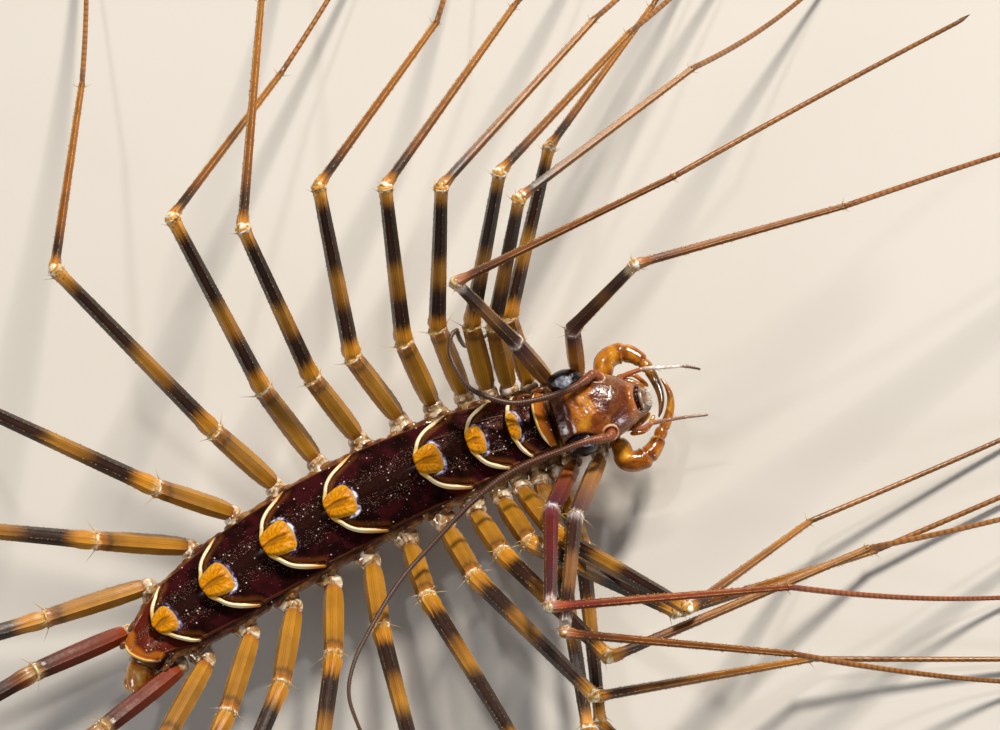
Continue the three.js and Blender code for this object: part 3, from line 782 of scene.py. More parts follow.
# Degrees: how far each segment swings forward of straight out, and how far it lifts; last the
# foot's swing.
stance = {
    "left": [
        (38, 78, 101, 64, 96, -20, 92), (-24, 70, -40, 77, 90, -4, 83), (12, 40, 42, 16, 54, -28, 54),
        (18, 54, 52, 57, 73, -21, 64), (17, 51, 46, 44, 60, -28, 60), (7, 45, 36, 45, 62, -20, 57),
        (4, 51, 25, 40, 53, -25, 53), (-11, 44, 19, 33, 51, -29, 34), (-11, 49, 6, 50, 26, -16, 26),
        (-10, 31, 1, 37, 46, -38, 49), (-23, 46, -18, 34, 22, -31, 17),
        (-51, 46, -41, 30, -8, -33, -8), (-65, 34, -62, 28, -40, -33, -40),
        (-84, 15, -84, 22, -72, -32, -72), (-94, 30, -99, 22, -97, -32, -97),
    ],
    "right": [
        (-41, 42, -26, 42, 60, -17, 63), (-41, 48, -20, 49, 70, -15, 70),
        (-8, -12, -21, -2, 25, -12, 25), (-12, -4, -17, 8, 35, -22, 35), (9, 38, 30, 25, 109, -48, 88),
        (6, 41, 37, 5, 87, -36, 87), (7, 44, 18, 22, 88, -13, 82), (5, 38, 18, 15, 79, -38, 64),
        (-3, 41, 6, 18, 45, -33, 45), (-12, 36, -8, 25, 20, -33, 20), (-19, 33, -28, 26, -5, -33, -5),
        (-28, 30, -42, 27, -22, -33, -22), (-34, 32, -46, 27, -42, -33, -42),
        (-45, 34, -60, 24, -62, -32, -62), (-70, 30, -74, 20, -78, -30, -78),
    ],
}
# The three stiff segments. tooth is the size of their small spines, on most legs and on the hind
# pair; long gives the larger spines near the end: how far out, their length, place and turns.
segments = {
    "prefemur": {
        "t": [0, 0.04, 0.1, 0.3, 0.6, 0.9, 0.93, 0.955, 1],
        "wide": [0.6, 0.84, 0.96, 1.06, 1.05, 0.98, 0.93, 1.0, 1.02],
        "tall": 0.98, "spacing": 0.3, "tooth": (0.11, 0.07), "knob": 0.94,
        "long": (0.8, 1.7, 0.97, (0.0, 0.9, 2.2, 3.14)),
    },
    "femur": {
        "t": [0, 0.02, 0.045, 0.07, 0.09, 0.93, 0.965, 1],
        "wide": [0.84, 0.98, 0.98, 0.9, 0.87, 0.66, 0.7, 0.8],
        "tall": 1.0, "spacing": 0.3, "tooth": (0.11, 0.07), "knob": 0.76,
        "long": (0.62, 1.1, 0.97, (0.3, 1.57, 2.8, 3.9, 5.4)),
    },
    "tibia": {
        "t": [0, 0.015, 0.035, 0.055, 0.98, 1], "wide": [0.56, 0.66, 0.62, 0.5, 0.35, 0.38],
        "tall": 1.0, "spacing": 0.36, "tooth": (0.13, 0.13), "knob": 0,
        "long": (0.32, 0.8, 0.985, (0.0, 1.57, 3.14, 4.7)),
    },
}
limb = {"rings": 46, "columns": 36, "sides": 6, "keel": 0.035, "flat": 0.6}
outline6, edge6 = ridgedSection(*(limb[key] for key in ("columns", "sides", "keel", "flat")))


def between(table, n):
    return float(np.interp(n, list(table), list(table.values())))


def legSize(n):
    return 0.96 if n > 5 else lerp(0.82, 0.92, (n - 1) / 4)


def legRoot(which, n):
    height = legs["height"][min(n, 5) - 1]
    return bodyPoint(legs["station"][n - 1], sideOf(which) * legs["spread"][n - 1], height)


def hipAim(which, n):
    root = legRoot(which, n)
    return unit(root - bodyPoint(legs["station"][n - 1], 0, root[2] - 1.6))


def reachOut(which, length, swing, lift):
    swing, lift = math.radians(swing), math.radians(lift)
    level = length * math.cos(lift)
    out = sideOf(which) * level * math.cos(swing)
    return np.array([level * math.sin(swing), out, length * math.sin(lift)])


def legJoints(which, n):
    row = stance[which][n - 1]
    places = [legRoot(which, n)]
    for name, swing, lift in zip(segments, row[::2], row[1::2]):
        places.append(places[-1] + reachOut(which, between(legs[name], n), swing, lift))
    ankle = places[-1]
    raised = legs["raised"].get((which, n))
    low = raised or legs["foot"] * 0.55
    reach = math.sqrt(between(legs["tarsus"], n) ** 2 - (ankle[2] - low) ** 2)
    tip = ankle + reachOut(which, reach, row[6], 0)
    tip[2] = low
    heel = tip - reachOut(which, legs["flat"], row[6], 0)
    bend = lerp(ankle, tip, 0.52)
    bend[2] = lerp(low, ankle[2], 0.55 if raised else 0.12)
    return places, bend, heel, tip


def straightFrames(start, end, rows):
    axis = unit(end - start)
    over = unit(skyward - axis * axis[2])
    side = np.cross(over, axis)
    return np.repeat([side], rows, 0), np.repeat([over], rows, 0), axis


# Where spines lie on the map: a strip for each leg, higher up nearer to the foot.
def legPatches(n, strip, places):
    across = np.full(len(places), (n - 1) / legs["pairs"] + strip)
    return np.stack([across, 0.01 + 0.98 * (places - 1) / 3], -1)


def addSegment(shape, spines, n, name, start, end, at):
    shapeOf = segments[name]
    length = np.linalg.norm(end - start)
    rows = limb["rings"]
    even = np.linspace(0, 1, rows)
    t = lerp(even, 0.5 - 0.5 * np.cos(np.pi * even), 0.7)
    t = t * (1 + 0.6 / length) - 0.3 / length
    wide = np.interp(t, shapeOf["t"], shapeOf["wide"]) * legSize(n)
    ends = dome((t - t[0]) * length + 0.02, 0.45) * dome((t[-1] - t) * length + 0.02, 0.4)
    side, over, axis = straightFrames(start, end, rows)
    centres = start + np.outer(t, end - start)
    seed = chance.random()
    addTube(shape, centres, wide * ends, wide * shapeOf["tall"] * ends, outline6,
            at + np.clip(t, 0, 1), 0, edge6, seed, (side, over))
    # rows of small teeth along the six keels
    for corner in range(limb["sides"]):
        turn = corner * 2 * np.pi / limb["sides"]
        count = int(length * 0.94 / shapeOf["spacing"])
        places = np.linspace(0.04, 0.97, count) + chance.normal(0, 0.17 / length, count)
        reach = np.interp(places, shapeOf["t"], shapeOf["wide"]) * legSize(n) * (1 + limb["keel"])
        out = side[0] * math.cos(turn) + over[0] * math.sin(turn) * shapeOf["tall"]
        roots = start + np.outer(places, end - start) + out * reach[:, None] * 0.99
        size = shapeOf["tooth"][n == legs["pairs"]] * chance.uniform(0.4, 1.7, count)
        patches = legPatches(n, 0.004 + corner * 0.009, at + places)
        addSpines(spines, roots, out + axis * 0.9, size, size * 0.32, at + places, patches)


def addLongSpines(spines, n, name, start, end, at):
    out, long, t, turns = segments[name]["long"]
    side, over, axis = straightFrames(start, end, 1)
    turns = np.array(turns) + chance.normal(0, 0.12, len(turns))
    outwards = np.outer(np.cos(turns), side[0]) + np.outer(np.sin(turns), over[0])
    roots = start + (end - start) * t + outwards * (out * legSize(n))
    patches = legPatches(n, 0.06, at + t + 0 * turns)
    lengths = long * chance.uniform(0.75, 1.2, len(turns))
    addSpines(spines, roots, outwards + axis * 0.75, lengths, 0.075, at + t, patches)


# The slender last part: many short rings, ending flat on the floor with a small dark claw.
tarsus = {
    "rings": 46, "perRing": 3, "columns": 10, "from": 0.3, "to": 0.22, "waist": 0.1, "swell": 0.03,
    "claw": {
        "wide": [0.13, 0.13, 0.11, 0.085, 0.05, 0.012], "high": [0.1, 0.1, 0.09, 0.07, 0.04, 0.01],
        "from": -0.1, "to": 0.55, "sag": 0.06, "columns": 8,
    },
}


def addTarsus(shape, ankle, bend, heel, tip):
    perRing, thin = tarsus["perRing"], tarsus["to"]
    steps = tarsus["rings"] * perRing
    t = np.linspace(0, 1, steps + 1)[:, None]
    curve = ankle * (1 - t) ** 2 + bend * 2 * t * (1 - t) + heel * t ** 2
    centres = np.concatenate([curve, [lerp(heel, tip, 0.5), tip]])
    phase = np.arange(steps + 1) % perRing
    waist = 1 - tarsus["waist"] * (phase == 0) + tarsus["swell"] * (phase == perRing - 1)
    radius = lerp(tarsus["from"], thin, t[:, 0]) * waist
    radius[:2] *= (0.7, 0.95)
    radius = np.concatenate([radius, [thin, thin * 0.7]])
    along = np.concatenate([4 + t[:, 0] * 0.985, [4.99, 5.0]])
    edge = np.concatenate([phase == 0, [0, 0]])[:, None] * 1.0
    addTube(shape, centres, radius, radius, roundSection(tarsus["columns"]), along, 0, edge)
    hook = tarsus["claw"]
    rows = len(hook["wide"])
    claw = tip + np.outer(np.linspace(hook["from"], hook["to"], rows), unit(tip - heel))
    claw[:, 2] -= np.linspace(0, 1, rows) ** 2 * hook["sag"]
    addTube(shape, claw, hook["wide"], hook["high"], roundSection(hook["columns"]), 5.6)


# Glossy pale knobs on each side of a joint, and a pale lip round the end of the segment.
knob = {"reach": 0.8, "lip": 36, "section": 9}


def addKnob(shape, start, end, size, at):
    sides, overs, axis = straightFrames(start, end, 1)
    side, over = sides[0], overs[0]
    axes = (over, axis, side)
    addBall(shape, end, [size * knob["reach"]] * 3, axes, 1, at)
    for hand in (-1, 1):
        centre = end + side * hand * size * 0.74 - axis * 0.12
        addBall(shape, centre, (size * 0.42, size * 0.5, size * 0.3), axes, 1, at)
        centre = end + (side * hand * 0.42 + over * 0.72) * size - axis * 0.22
        addBall(shape, centre, (size * 0.22, size * 0.42, size * 0.3), axes, 1, at)
    rows, columns = knob["lip"], knob["section"]
    turn, around = np.linspace(0, 2 * np.pi, rows + 1)[:-1], turnsRound(columns)[:, None]
    reach = size * (1.0 + 0.035 * np.sin(turn * 6))[:, None]
    ring = (end - axis * 0.12
            + (np.outer(np.cos(turn), side) + np.outer(np.sin(turn), over)) * reach)
    points = (ring[:, None] + unit(ring - end)[:, None] * np.cos(around) * 0.07 * size
              + axis * np.sin(around) * 0.11 * size)
    faces = gridFaces(rows + 1, columns, True) % (rows * columns)
    addPart(shape, points.reshape(-1, 3), [faces], (at, 0, 0), (0, 0, 0), 1)


# The short first joints: a curved bead, and the folded skin that joins it to the hip.
bead = {
    "at": [0, 0.12, 0.3, 0.55, 0.74, 0.9, 1], "wide": [0.85, 1.05, 1.16, 1.14, 0.98, 0.8, 0.6],
    "rings": 16, "section": (24, 5, 0.03, 0.45), "foldRings": 22, "foldColumns": 28,
}


def addFirstJoints(shape, which, n, root, knee):
    size, aim, first = legSize(n), hipAim(which, n), unit(knee - root)
    start = root - aim * (legs["trochanter"] + 0.15)
    places = [start, root - aim * 0.5, root + first * 0.05, root + first * 0.55]
    path, length = smoothPath(places, bead["rings"])
    walked = np.linspace(0, 1, bead["rings"])
    radius = np.interp(walked, bead["at"], bead["wide"]) * size
    radius = radius * domedEnds(walked, length, 0.02, 0.3, 0.02, 0.3)
    addTube(shape, path, radius, radius, ridgedSection(*bead["section"])[0], walked, 1)
    near = [other for other in (n - 2, n) if 0 <= other < legs["pairs"]]
    room = min(abs(legs["station"][n - 1] - legs["station"][other]) for other in near)
    flare = min(1.4, 0.46 * room)
    t = np.linspace(0, 1, bead["foldRings"])
    centres = start + np.outer(lerp(-0.5, legs["trochanter"] + 0.25, t), aim)
    wide = lerp(flare, 0.86 * size, ease(t * 1.1 - 0.1))
    wide = wide * domedEnds(t, 1.8, 0.02, 0.3, 0.02, 0.25)
    turn, rows = turnsRound(bead["foldColumns"]), t[:, None]
    folds = 1 + 0.05 * np.sin(turn * 3 + n) + 0.04 * np.sin(turn * 5 + 2 * n) * np.sin(rows * 9 + n)
    section = roundSection(bead["foldColumns"]) * folds[..., None]
    addTube(shape, centres, wide, wide * 0.9, section, t * 0.9, 1)


# Each of the four front legs has colours of its own.
frontLooks = {("left", 1): "brown", ("left", 2): "grey", ("right", 1): "grey", ("right", 2): "red"}


def makeLeg(which, n, spines):
    joints, bend, heel, tip = legJoints(which, n)
    shape = newShape()
    addFirstJoints(shape, which, n, *joints[:2])
    parts = list(zip(segments, joints, joints[1:], (1, 2, 3)))
    for name, start, end, at in parts:
        addSegment(shape, spines, n, name, start, end, at)
        if segments[name]["knob"]:
            addKnob(shape, start, end, segments[name]["knob"] * legSize(n), at + 1)
    addTarsus(shape, joints[-1], bend, heel, tip)
    for part in parts:
        addLongSpines(spines, n, *part)
    for points in shape["points"]:
        points[:, 2] = np.maximum(points[:, 2], 0.0)
    name, last = f"leg_{which}_{n:02d}", n == legs["pairs"]
    look = legLooks["hind" if last else frontLooks.get((which, n), "banded")]
    makePiece(name + "_limb", shape, [look, jointLook], [name], sharp=50)


# Colours along a leg: 0 to 1 hip bead, 1 to 2 prefemur, 2 to 3 femur, 3 to 4 tibia, 4 to 5 tarsus,
# then the claw. The dark legs shine less than the banded ones.
legTones = {
    "banded": [
        (1.0, "8c350e"), (1.05, "a26318"), (1.12, "ab761c"), (1.5, "a6721c"), (1.8, "99681c"),
        (1.86, "5f411f"), (1.91, "94631b"), (1.95, "a8581c"), (1.99, "d8b074"), (2.01, "bb821c"),
        (2.07, "ba7914"), (2.13, "1f0f09"), (2.27, "26140b"), (2.35, "8c5c18"), (2.46, "9e6d1e"),
        (2.55, "26140b"), (2.87, "1f0f09"), (2.91, "8e5c18"), (2.95, "c4862c"), (2.985, "d8a050"),
        (3.0, "cc8a2c"), (3.045, "8b510d"), (3.06, "28140a"), (3.13, "34190a"), (3.21, "6c3a0c"),
        (3.6, "864e10"), (3.97, "925a16"), (4.0, "5a330d"), (4.05, "976022"), (4.9, "80521f"),
        (5.3, "261106"),
    ],
    "grey": [
        (1.0, "a0601c"), (1.1, "a4723a"), (1.5, "8e643e"), (1.8, "6a483e"), (1.93, "4c3636"),
        (2.0, "beb4ba"), (2.06, "4c3630"), (2.11, "2c1814"), (2.3, "321c16"), (2.4, "7a5230"),
        (2.6, "7c5430"), (2.7, "2e1a16"), (2.88, "2c1a1a"), (2.95, "cfc4be"), (3.03, "9a5420"),
        (3.08, "4a2410"), (3.3, "6a3410"), (4.0, "6e3a14"), (4.05, "986024"), (4.9, "80521f"),
        (5.3, "261106"),
    ],
    "red": [
        (1.0, "c07428"), (1.2, "aa5e22"), (1.5, "8a4430"), (1.8, "602c30"), (1.92, "4e2632"),
        (1.98, "b4a0b0"), (2.04, "64303a"), (2.12, "5c1c1e"), (2.5, "561820"), (2.75, "401a22"),
        (2.9, "381c22"), (2.96, "c4b2b4"), (3.03, "9a4420"), (3.1, "6e2216"), (3.4, "7c2c18"),
        (4.0, "742e18"), (4.05, "98522c"), (4.9, "844a24"), (5.3, "261106"),
    ],
    "brown": [
        (1.0, "cc8c2c"), (1.3, "be7e28"), (1.6, "a0621e"), (1.8, "683c26"), (1.9, "46282a"),
        (1.98, "a8948c"), (2.04, "5c3c34"), (2.1, "38201c"), (2.4, "3a221c"), (2.5, "6e4a28"),
        (2.6, "6a4626"), (2.68, "331e1a"), (2.88, "2c1a18"), (2.95, "cdbb9a"), (3.03, "9c5a20"),
        (3.1, "5c3014"), (3.3, "7c4214"), (4.0, "703c14"), (4.05, "98602a"), (4.9, "844f22"),
        (5.3, "261106"),
    ],
    "hind": [
        (1.0, "8a3812"), (1.1, "7a2e0e"), (1.7, "5a200c"), (1.9, "3e160a"), (2.0, "b08c5c"),
        (2.05, "7c4014"), (2.11, "2c140a"), (2.3, "34180c"), (2.4, "6c3a14"), (2.52, "6c3a14"),
        (2.6, "2e140a"), (2.86, "28110a"), (2.92, "a8783c"), (2.97, "ceb078"), (3.03, "7e3e10"),
        (3.07, "2c130a"), (3.2, "401c0c"), (3.4, "66300e"), (4.0, "602e0e"), (4.05, "80441a"),
        (4.9, "6e3a18"), (5.3, "201006"),
    ],
}
legGloss = {
    "banded": (0.35, 0.2), "hind": (0.12, 0.05), "red": (0.2, 0.1), "grey": (0.2, 0.1),
    "brown": (0.25, 0.12),
}


def makeLegLook(name):
    look = newLook("leg_" + name)
    along, acrossTurn, overTurn = field("place")
    corner, _, seed = field("trait")
    fine, broad = noise(1900.0, 4.0, 0.6), noise(350.0)
    share = maths("DIVIDE", along, 6.0)
    # edges of the bands run out in streaks along the leg
    lengthwise = maths("MULTIPLY_ADD", along, 1.6, times(seed, 40.0))
    turned = {0: times(acrossTurn, 2.6), 1: times(overTurn, 2.6), 2: lengthwise}
    around = addNode("CombineXYZ", None, turned).outputs[0]
    streaks = {"Vector": around, "Scale": 1.6, "Detail": 4.0, "Roughness": 0.6}
    streaks = addNode("TexNoise", None, streaks).outputs[0]
    shifted = plus(along, times(minus(streaks, 0.5), 0.16))
    tone = ramp(maths("DIVIDE", shifted, 6.0), [(at / 6, tint) for at, tint in legTones[name]])
    tone = mix(1.0, tone, ramp(broad, [(0.3, 0.74), (0.7, 1.12)]), "MULTIPLY")
    # the mid-groove of the upper face with its two dark lines
    line = maths("ABSOLUTE", minus(maths("ABSOLUTE", acrossTurn), 0.1))
    line = times(ramp(line, [(0.015, 1.0), (0.06, 0.0)]), maths("GREATER_THAN", overTurn, 0.3))
    grooved = [(0.17, 0.0), (0.19, 0.35), (0.31, 0.35), (0.35, 0.65), (0.44, 0.65), (0.49, 0.2),
               (0.5, 0.0)]
    tone = mix(times(line, ramp(share, grooved)), tone, "4a2410")
    # keels painted a little paler as highlights on the lighter bands, with dark streaks between them
    keelHighlight = ramp(corner, [(0.35, 0.0), (1.0, 0.22)])
    onSegments = ramp(share, [(0.16, 0.0), (0.17, 1.0), (0.66, 1.0), (0.667, 0.0)])
    light = ramp(tone, [(0.03, 0.0), (0.25, 1.0)])
    tone = mix(times(keelHighlight, onSegments, light), tone, "e0ac60")
    tone = mix(times(ramp(streaks, [(0.52, 0.0), (0.7, 0.12)]), onSegments), tone, "6a3a14")
    # golden dots painted along the keels of the tibia as glints, and dark rings of the tarsus
    onTibia = ramp(share, [(0.52, 0.0), (0.55, 0.75), (0.66, 0.9), (0.667, 0.0)])
    tone = mix(times(onTibia, corner, ramp(fine, [(0.4, 0.2), (0.6, 1.0)])), tone, "d8ac58")
    onTarsus = times(maths("GREATER_THAN", along, 4.01), corner)
    tone = mix(times(onTarsus, 0.75), tone, "4a2610")
    # dark freckles, most of them at the knees
    knees = [(0.46, 0.0), (0.485, 0.9), (0.515, 0.9), (0.54, 0.2), (0.66, 0.2), (0.667, 0.0)]
    tone = mix(times(strewn(2100.0, 0.55, 0.34), ramp(share, knees)), tone, "20100a")
    pits = addNode("TexVoronoi", None, onPiece({"Scale": 3200.0})).outputs["Distance"]
    gloss, coat = legGloss[name]
    relief = plus(fine, times(pits, 0.6))
    finishLook(tone, ramp(fine, [(0.3, 0.3), (0.7, 0.46)]), (relief, 0.35, 0.00003), (coat, 0.1),
               (0.07, (0.0005, 0.0003, 0.0001)), {"Specular IOR Level": gloss})
    return look


def makeJointLook():
    look = newLook("joint")
    soft = noise(1100.0, 4.0, 0.6, 0.6)
    along = field("place")[0]
    knee = ramp(soft, [(0.32, "7c4618"), (0.42, "b88638"), (0.52, "e2cc9c"), (0.6, "fbf4e4")], True)
    base = ramp(soft, [(0.34, "6c4622"), (0.46, "a07c50"), (0.56, "cdb698"), (0.66, "eee4d8")], True)
    tone = mix(maths("GREATER_THAN", along, 1.5), base, knee)
    red = ramp(times(along, 0.5), [(0.38, 0.0), (0.48, 0.7), (0.52, 0.0)])
    tone = mix(times(red, noise(1300.0)), tone, "a8431c")
    finishLook(tone, 0.16, (soft, 0.25, 0.00006), (0.6, 0.05), (0.3, (0.0008, 0.0005, 0.0003)))
    return look


legLooks = {name: makeLegLook(name) for name in legTones}
jointLook = makeJointLook()
legSpineLook = spineLook("leg_spine", "7c4a16", "e2bc74")
for which in hands:
    legSpines = newShape()
    for n in range(1, legs["pairs"] + 1):
        makeLeg(which, n, legSpines)
    makePiece(f"leg_spines_{which}", legSpines, [legSpineLook], [])
print("legs made")


# The trunk: soft sides with bulges, folds and hips, and broad plates below.
trunk = {
    "top": 13.4, "bottom": 8.7, "front": 19.1, "cuts": (3.4, -14.6), "gap": 0.1, "tail": -28.9,
    "share": 0.87, "columns": 72, "step": 0.22, "sharp": 70,
}
fold = {"front": 18.2, "rear": -26.5, "step": 0.16, "columns": 20, "wide": 0.62, "high": 0.8}
hip = {
    "rings": 18, "columns": 24, "at": [0, 0.45, 0.75, 0.93, 1], "wide": [1.05, 1.2, 1.16, 0.98, 0.86],
    "swellings": ((0.75, 0.42, 0.25, 0.8), (-1.0, 0.36, 0.05, 0.5)),
}
belly = {"reach": 1.2, "rings": 14, "columns": 28, "power": 0.7, "wide": 0.62, "high": 0.55}


def trunkHalf(station):
    tail = np.clip((-22 - station) / 7, 0, 1)
    neck = np.clip((station - 13) / 6, 0, 1)
    top = trunk["top"] - 1.1 * tail - 0.3 * neck
    return trunk["share"] * plateHalf(station), top, trunk["bottom"] + 0.8 * tail


# How high the outer edge of the plates lies.
def edgeHeight(station):
    return body["back"] - plateShape["arch"] * plateHalf(station) - 0.75


def powered(section, power):
    return np.sign(section) * np.abs(section) ** power


def addTrunkLength(shape, start, end):
    rows = int(abs(start - end) / trunk["step"])
    station = np.linspace(start, end, rows)
    half, top, bottom = trunkHalf(station)
    turn = turnsRound(trunk["columns"])
    across, rise = np.cos(turn), np.sin(turn)
    swell = np.zeros((rows, len(turn)))
    flank = np.exp(-((np.abs(across) - 1) / 0.35) ** 2)
    lower = ease((-rise - 0.5) / 0.3)
    for at in legs["station"]:
        near = (station - at)[:, None]
        swell += 0.10 * hump(near, 1.1) * flank * (rise > -0.6)
        swell += 0.05 * hump(near - 0.9, 0.5) * hump(rise - 0.35, 0.3) * flank
        swell -= 0.07 * hump(near + 1.7, 0.28) * (0.4 * flank + lower)
    swell += 0.012 * np.sin(station[:, None] * 9 + 3 * np.sin(turn * 5)) * flank
    ends = dome(station[0] - station + 0.02, 0.5) * dome(station - station[-1] + 0.02, 0.5)
    section = np.stack([across, rise], -1) * (1 + swell)[..., None]
    centres = bodyPoint(station, 0, (top + bottom) / 2)
    squash = lerp(0.9, 1, ends)
    addTube(shape, centres, half * squash, (top - bottom) / 2 * squash, section, station, 0,
            swell * 5, frames=bodyFrames(station))


# The hip of a leg, with a glossy oval swelling above it and a smaller one behind it.
def addHip(shape, which, n):
    aim, at = hipAim(which, n), legs["station"][n - 1]
    end = legRoot(which, n) - aim * (legs["trochanter"] - 0.1)
    inside = min(legs["spread"][n - 1] - 2, 3)
    t = np.linspace(0, 1, hip["rings"])
    centres = end - np.outer((1 - t) * inside, aim)
    wide = np.interp(t, hip["at"], hip["wide"]) * legSize(n)
    wide = wide * dome((1 - t) * inside + 0.03, 0.25)
    waves = 1 + 0.04 * np.sin(turnsRound(hip["columns"]) * 3 + n)
    addTube(shape, centres, wide, wide * 1.08, roundSection(hip["columns"]) * waves[:, None], at, 1)
    for shift, out, lift, long in hip["swellings"]:
        station = at + shift
        left = sideOf(which) * (float(plateHalf(station)) + out)
        centre = bodyPoint(station, left, edgeHeight(station) + lift)
        ahead = unit(bodyPoint(station + 1, 0, 0) - bodyPoint(station, 0, 0))
        outward = sideOf(which) * np.array([-ahead[1], ahead[0], 0])
        addBall(shape, centre, (0.34, 0.36, long), (outward, skyward, ahead), 0, 0.5, 12, 16)


# A soft fold along each flank, showing beyond the plates, full between the hips and drawn in at them.
def addFold(shape, start, end, which):
    station = np.linspace(start, end, int(abs(start - end) / fold["step"]))
    nearest = np.abs(station[:, None] - np.array(legs["station"])).min(1)
    full = 0.62 + 0.38 * ease(nearest / 1.5) + 0.03 * np.sin(station * 5.3)
    taper = dome(np.minimum(station[0] - station, station - station[-1]) + 0.05, 0.8)
    out = plateHalf(station) * 0.985 - 0.12 + 0.1 * full
    path = bodyPoint(station, sideOf(which) * out, edgeHeight(station) + 0.1 * full)
    waves = 1 + 0.06 * np.sin(turnsRound(fold["columns"]) * 3)
    section = roundSection(fold["columns"]) * waves[:, None]
    addTube(shape, path, fold["wide"] * full * taper, fold["high"] * full * taper, section, station)


# Broad plates along the belly, one between each pair of hips.
def addBelly(shape, first, last):
    section = powered(roundSection(belly["columns"]), belly["power"])
    t = np.linspace(0, 1, belly["rings"])
    full = dome(np.minimum(t, 1 - t) * 2.4 + 0.03, 0.7)
    for n in range(first, last + 1):
        at = legs["station"][n - 1]
        station = np.linspace(at + belly["reach"], at - belly["reach"], belly["rings"])
        half, _, bottom = trunkHalf(station)
        middle, high = bodyPoint(station, 0, bottom + 0.35), belly["high"] * lerp(0.6, 1, full)
        addTube(shape, middle, half * belly["wide"] * full, high, section, station, 1,
                frames=bodyFrames(station))


# A tube along the body through rings of station, height, half the width and half the height.
def bodyTube(shape, rings, columns, power, rows):
    rings = np.array(rings)
    t = np.linspace(0, 1, rows)
    at = np.interp(t, np.linspace(0, 1, len(rings)), rings[:, 0])
    way = np.sign(rings[-1, 0] - rings[0, 0])
    height, wide, high = (np.interp(at * way, rings[:, 0] * way, rings[:, k]) for k in (1, 2, 3))
    ends = dome(np.minimum(t, 1 - t) * abs(at[-1] - at[0]) + 0.02, 0.4)
    addTube(shape, bodyPoint(at, 0, height), wide * ends, high * ends,
            powered(roundSection(columns), power), at, 2, frames=bodyFrames(at))


clawBase = {
    "rings": [(17.5, 9.5, 2.6, 0.8), (20.5, 9.2, 2.9, 0.85), (23.6, 9.1, 2.9, 0.85),
              (25.2, 9.0, 2.2, 0.7)],
    "seat": (24.7, 3.3, 9.3), "from": -2.4, "to": 0.15, "count": 14, "columns": 22,
    "at": [-2.4, -0.8, 0.1], "wide": [0.9, 1.02, 0.85],
}


def clawSeat(which, outwards):
    at, out, height = clawBase["seat"]
    return bodyPoint(at + 0.6 * outwards, sideOf(which) * (out + 0.8 * outwards), height)


# The base of the poison claws under the front of the trunk, with the root of each.
def addClawBase(shape):
    bodyTube(shape, clawBase["rings"], 32, 0.9, 40)
    at = np.linspace(clawBase["from"], clawBase["to"], clawBase["count"])
    wide = np.interp(at, clawBase["at"], clawBase["wide"])
    wide[-1] *= 0.6
    for which in hands:
        path = np.array([clawSeat(which, outwards) for outwards in at])
        addTube(shape, path, wide, wide * 0.8, roundSection(clawBase["columns"]), 24, 2)


def makeTrunk(name, start, end, first, last):
    shape = newShape()
    addTrunkLength(shape, start, end)
    for which in hands:
        addFold(shape, min(start, fold["front"]), max(end, fold["rear"]), which)
        for n in range(first, last + 1):
            addHip(shape, which, n)
    addBelly(shape, max(first, 3), last)  # the claws' base covers the first two hips
    if first == 1:
        addClawBase(shape)
    makePiece(name + "_flesh", shape, [trunkLook, hipLook, clawLook], [name], trunk["sharp"])


# A wet look with one mottled tone and a bump of the same grain.
def makeFleshLook(name, grain, tones, rough, bumps, coat, depth, warm=None):
    look = newLook(name)
    soft = noise(*grain)
    tone = ramp(soft, tones, True)
    if warm:
        tone = mix(ramp(field("place")[2], [(0.0, 0.4), (0.3, 0.0)]), tone, warm)
    finishLook(tone, rough, (soft,) + bumps, coat, depth)
    return look


def makeTrunkLook():
    look = newLook("trunk_skin")
    soft, fine = noise(500.0, 4.0, 0.6, 0.8), noise(2400.0, 4.0)
    tone = ramp(soft, [(0.34, "34180f"), (0.46, "5c3018"), (0.58, "865826"), (0.72, "b08c5c")], True)
    tone = mix(times(fine, 0.3), tone, "4a2412")
    finishLook(tone, 0.2, (plus(soft, times(fine, 0.4)), 0.3, 0.00006), (0.5, 0.06),
               (0.15, (0.0008, 0.0004, 0.0002)))
    return look


def makeClawLook():
    look = newLook("claw_amber")
    along, acrossTurn, overTurn = field("place")
    soft, fine = noise(500.0, 4.0, 0.55, 0.6), noise(2200.0)
    amber = ramp(soft, [(0.3, "643208"), (0.44, "96520c"), (0.58, "b87812"), (0.74, "e0aa38")], True)
    seams = [(0.315, 0.0), (0.328, 0.6), (0.336, 0.0), (0.485, 0.0), (0.498, 0.6), (0.506, 0.0),
             (0.565, 0.0), (0.578, 0.6), (0.586, 0.0)]
    amber = mix(ramp(overTurn, [(0.0, 0.55), (0.5, 0.0)]), amber, "5a2a0c")
    amber = mix(ramp(along, seams), amber, "3a160a")
    # darker towards the tip, less so where a claw's trait says it
    reach = plus(along, times(minus(soft, 0.5), 0.12))
    dark = ramp(reach, [(0.48, 0.0), (0.58, 0.5), (0.66, 0.92), (0.78, 1.0)], True)
    inner = maths("MULTIPLY_ADD", acrossTurn, 0.2, 0.8)
    onClaw = maths("LESS_THAN", along, 1.5)
    dark = times(dark, minus(1.0, field("trait")[2]), inner, onClaw)
    finishLook(mix(dark, amber, "2a0f08"), 0.16, (plus(soft, times(fine, 0.6)), 0.5, 0.00014),
               (0.6, 0.05), (0.25, (0.0012, 0.0005, 0.0002)))
    return look


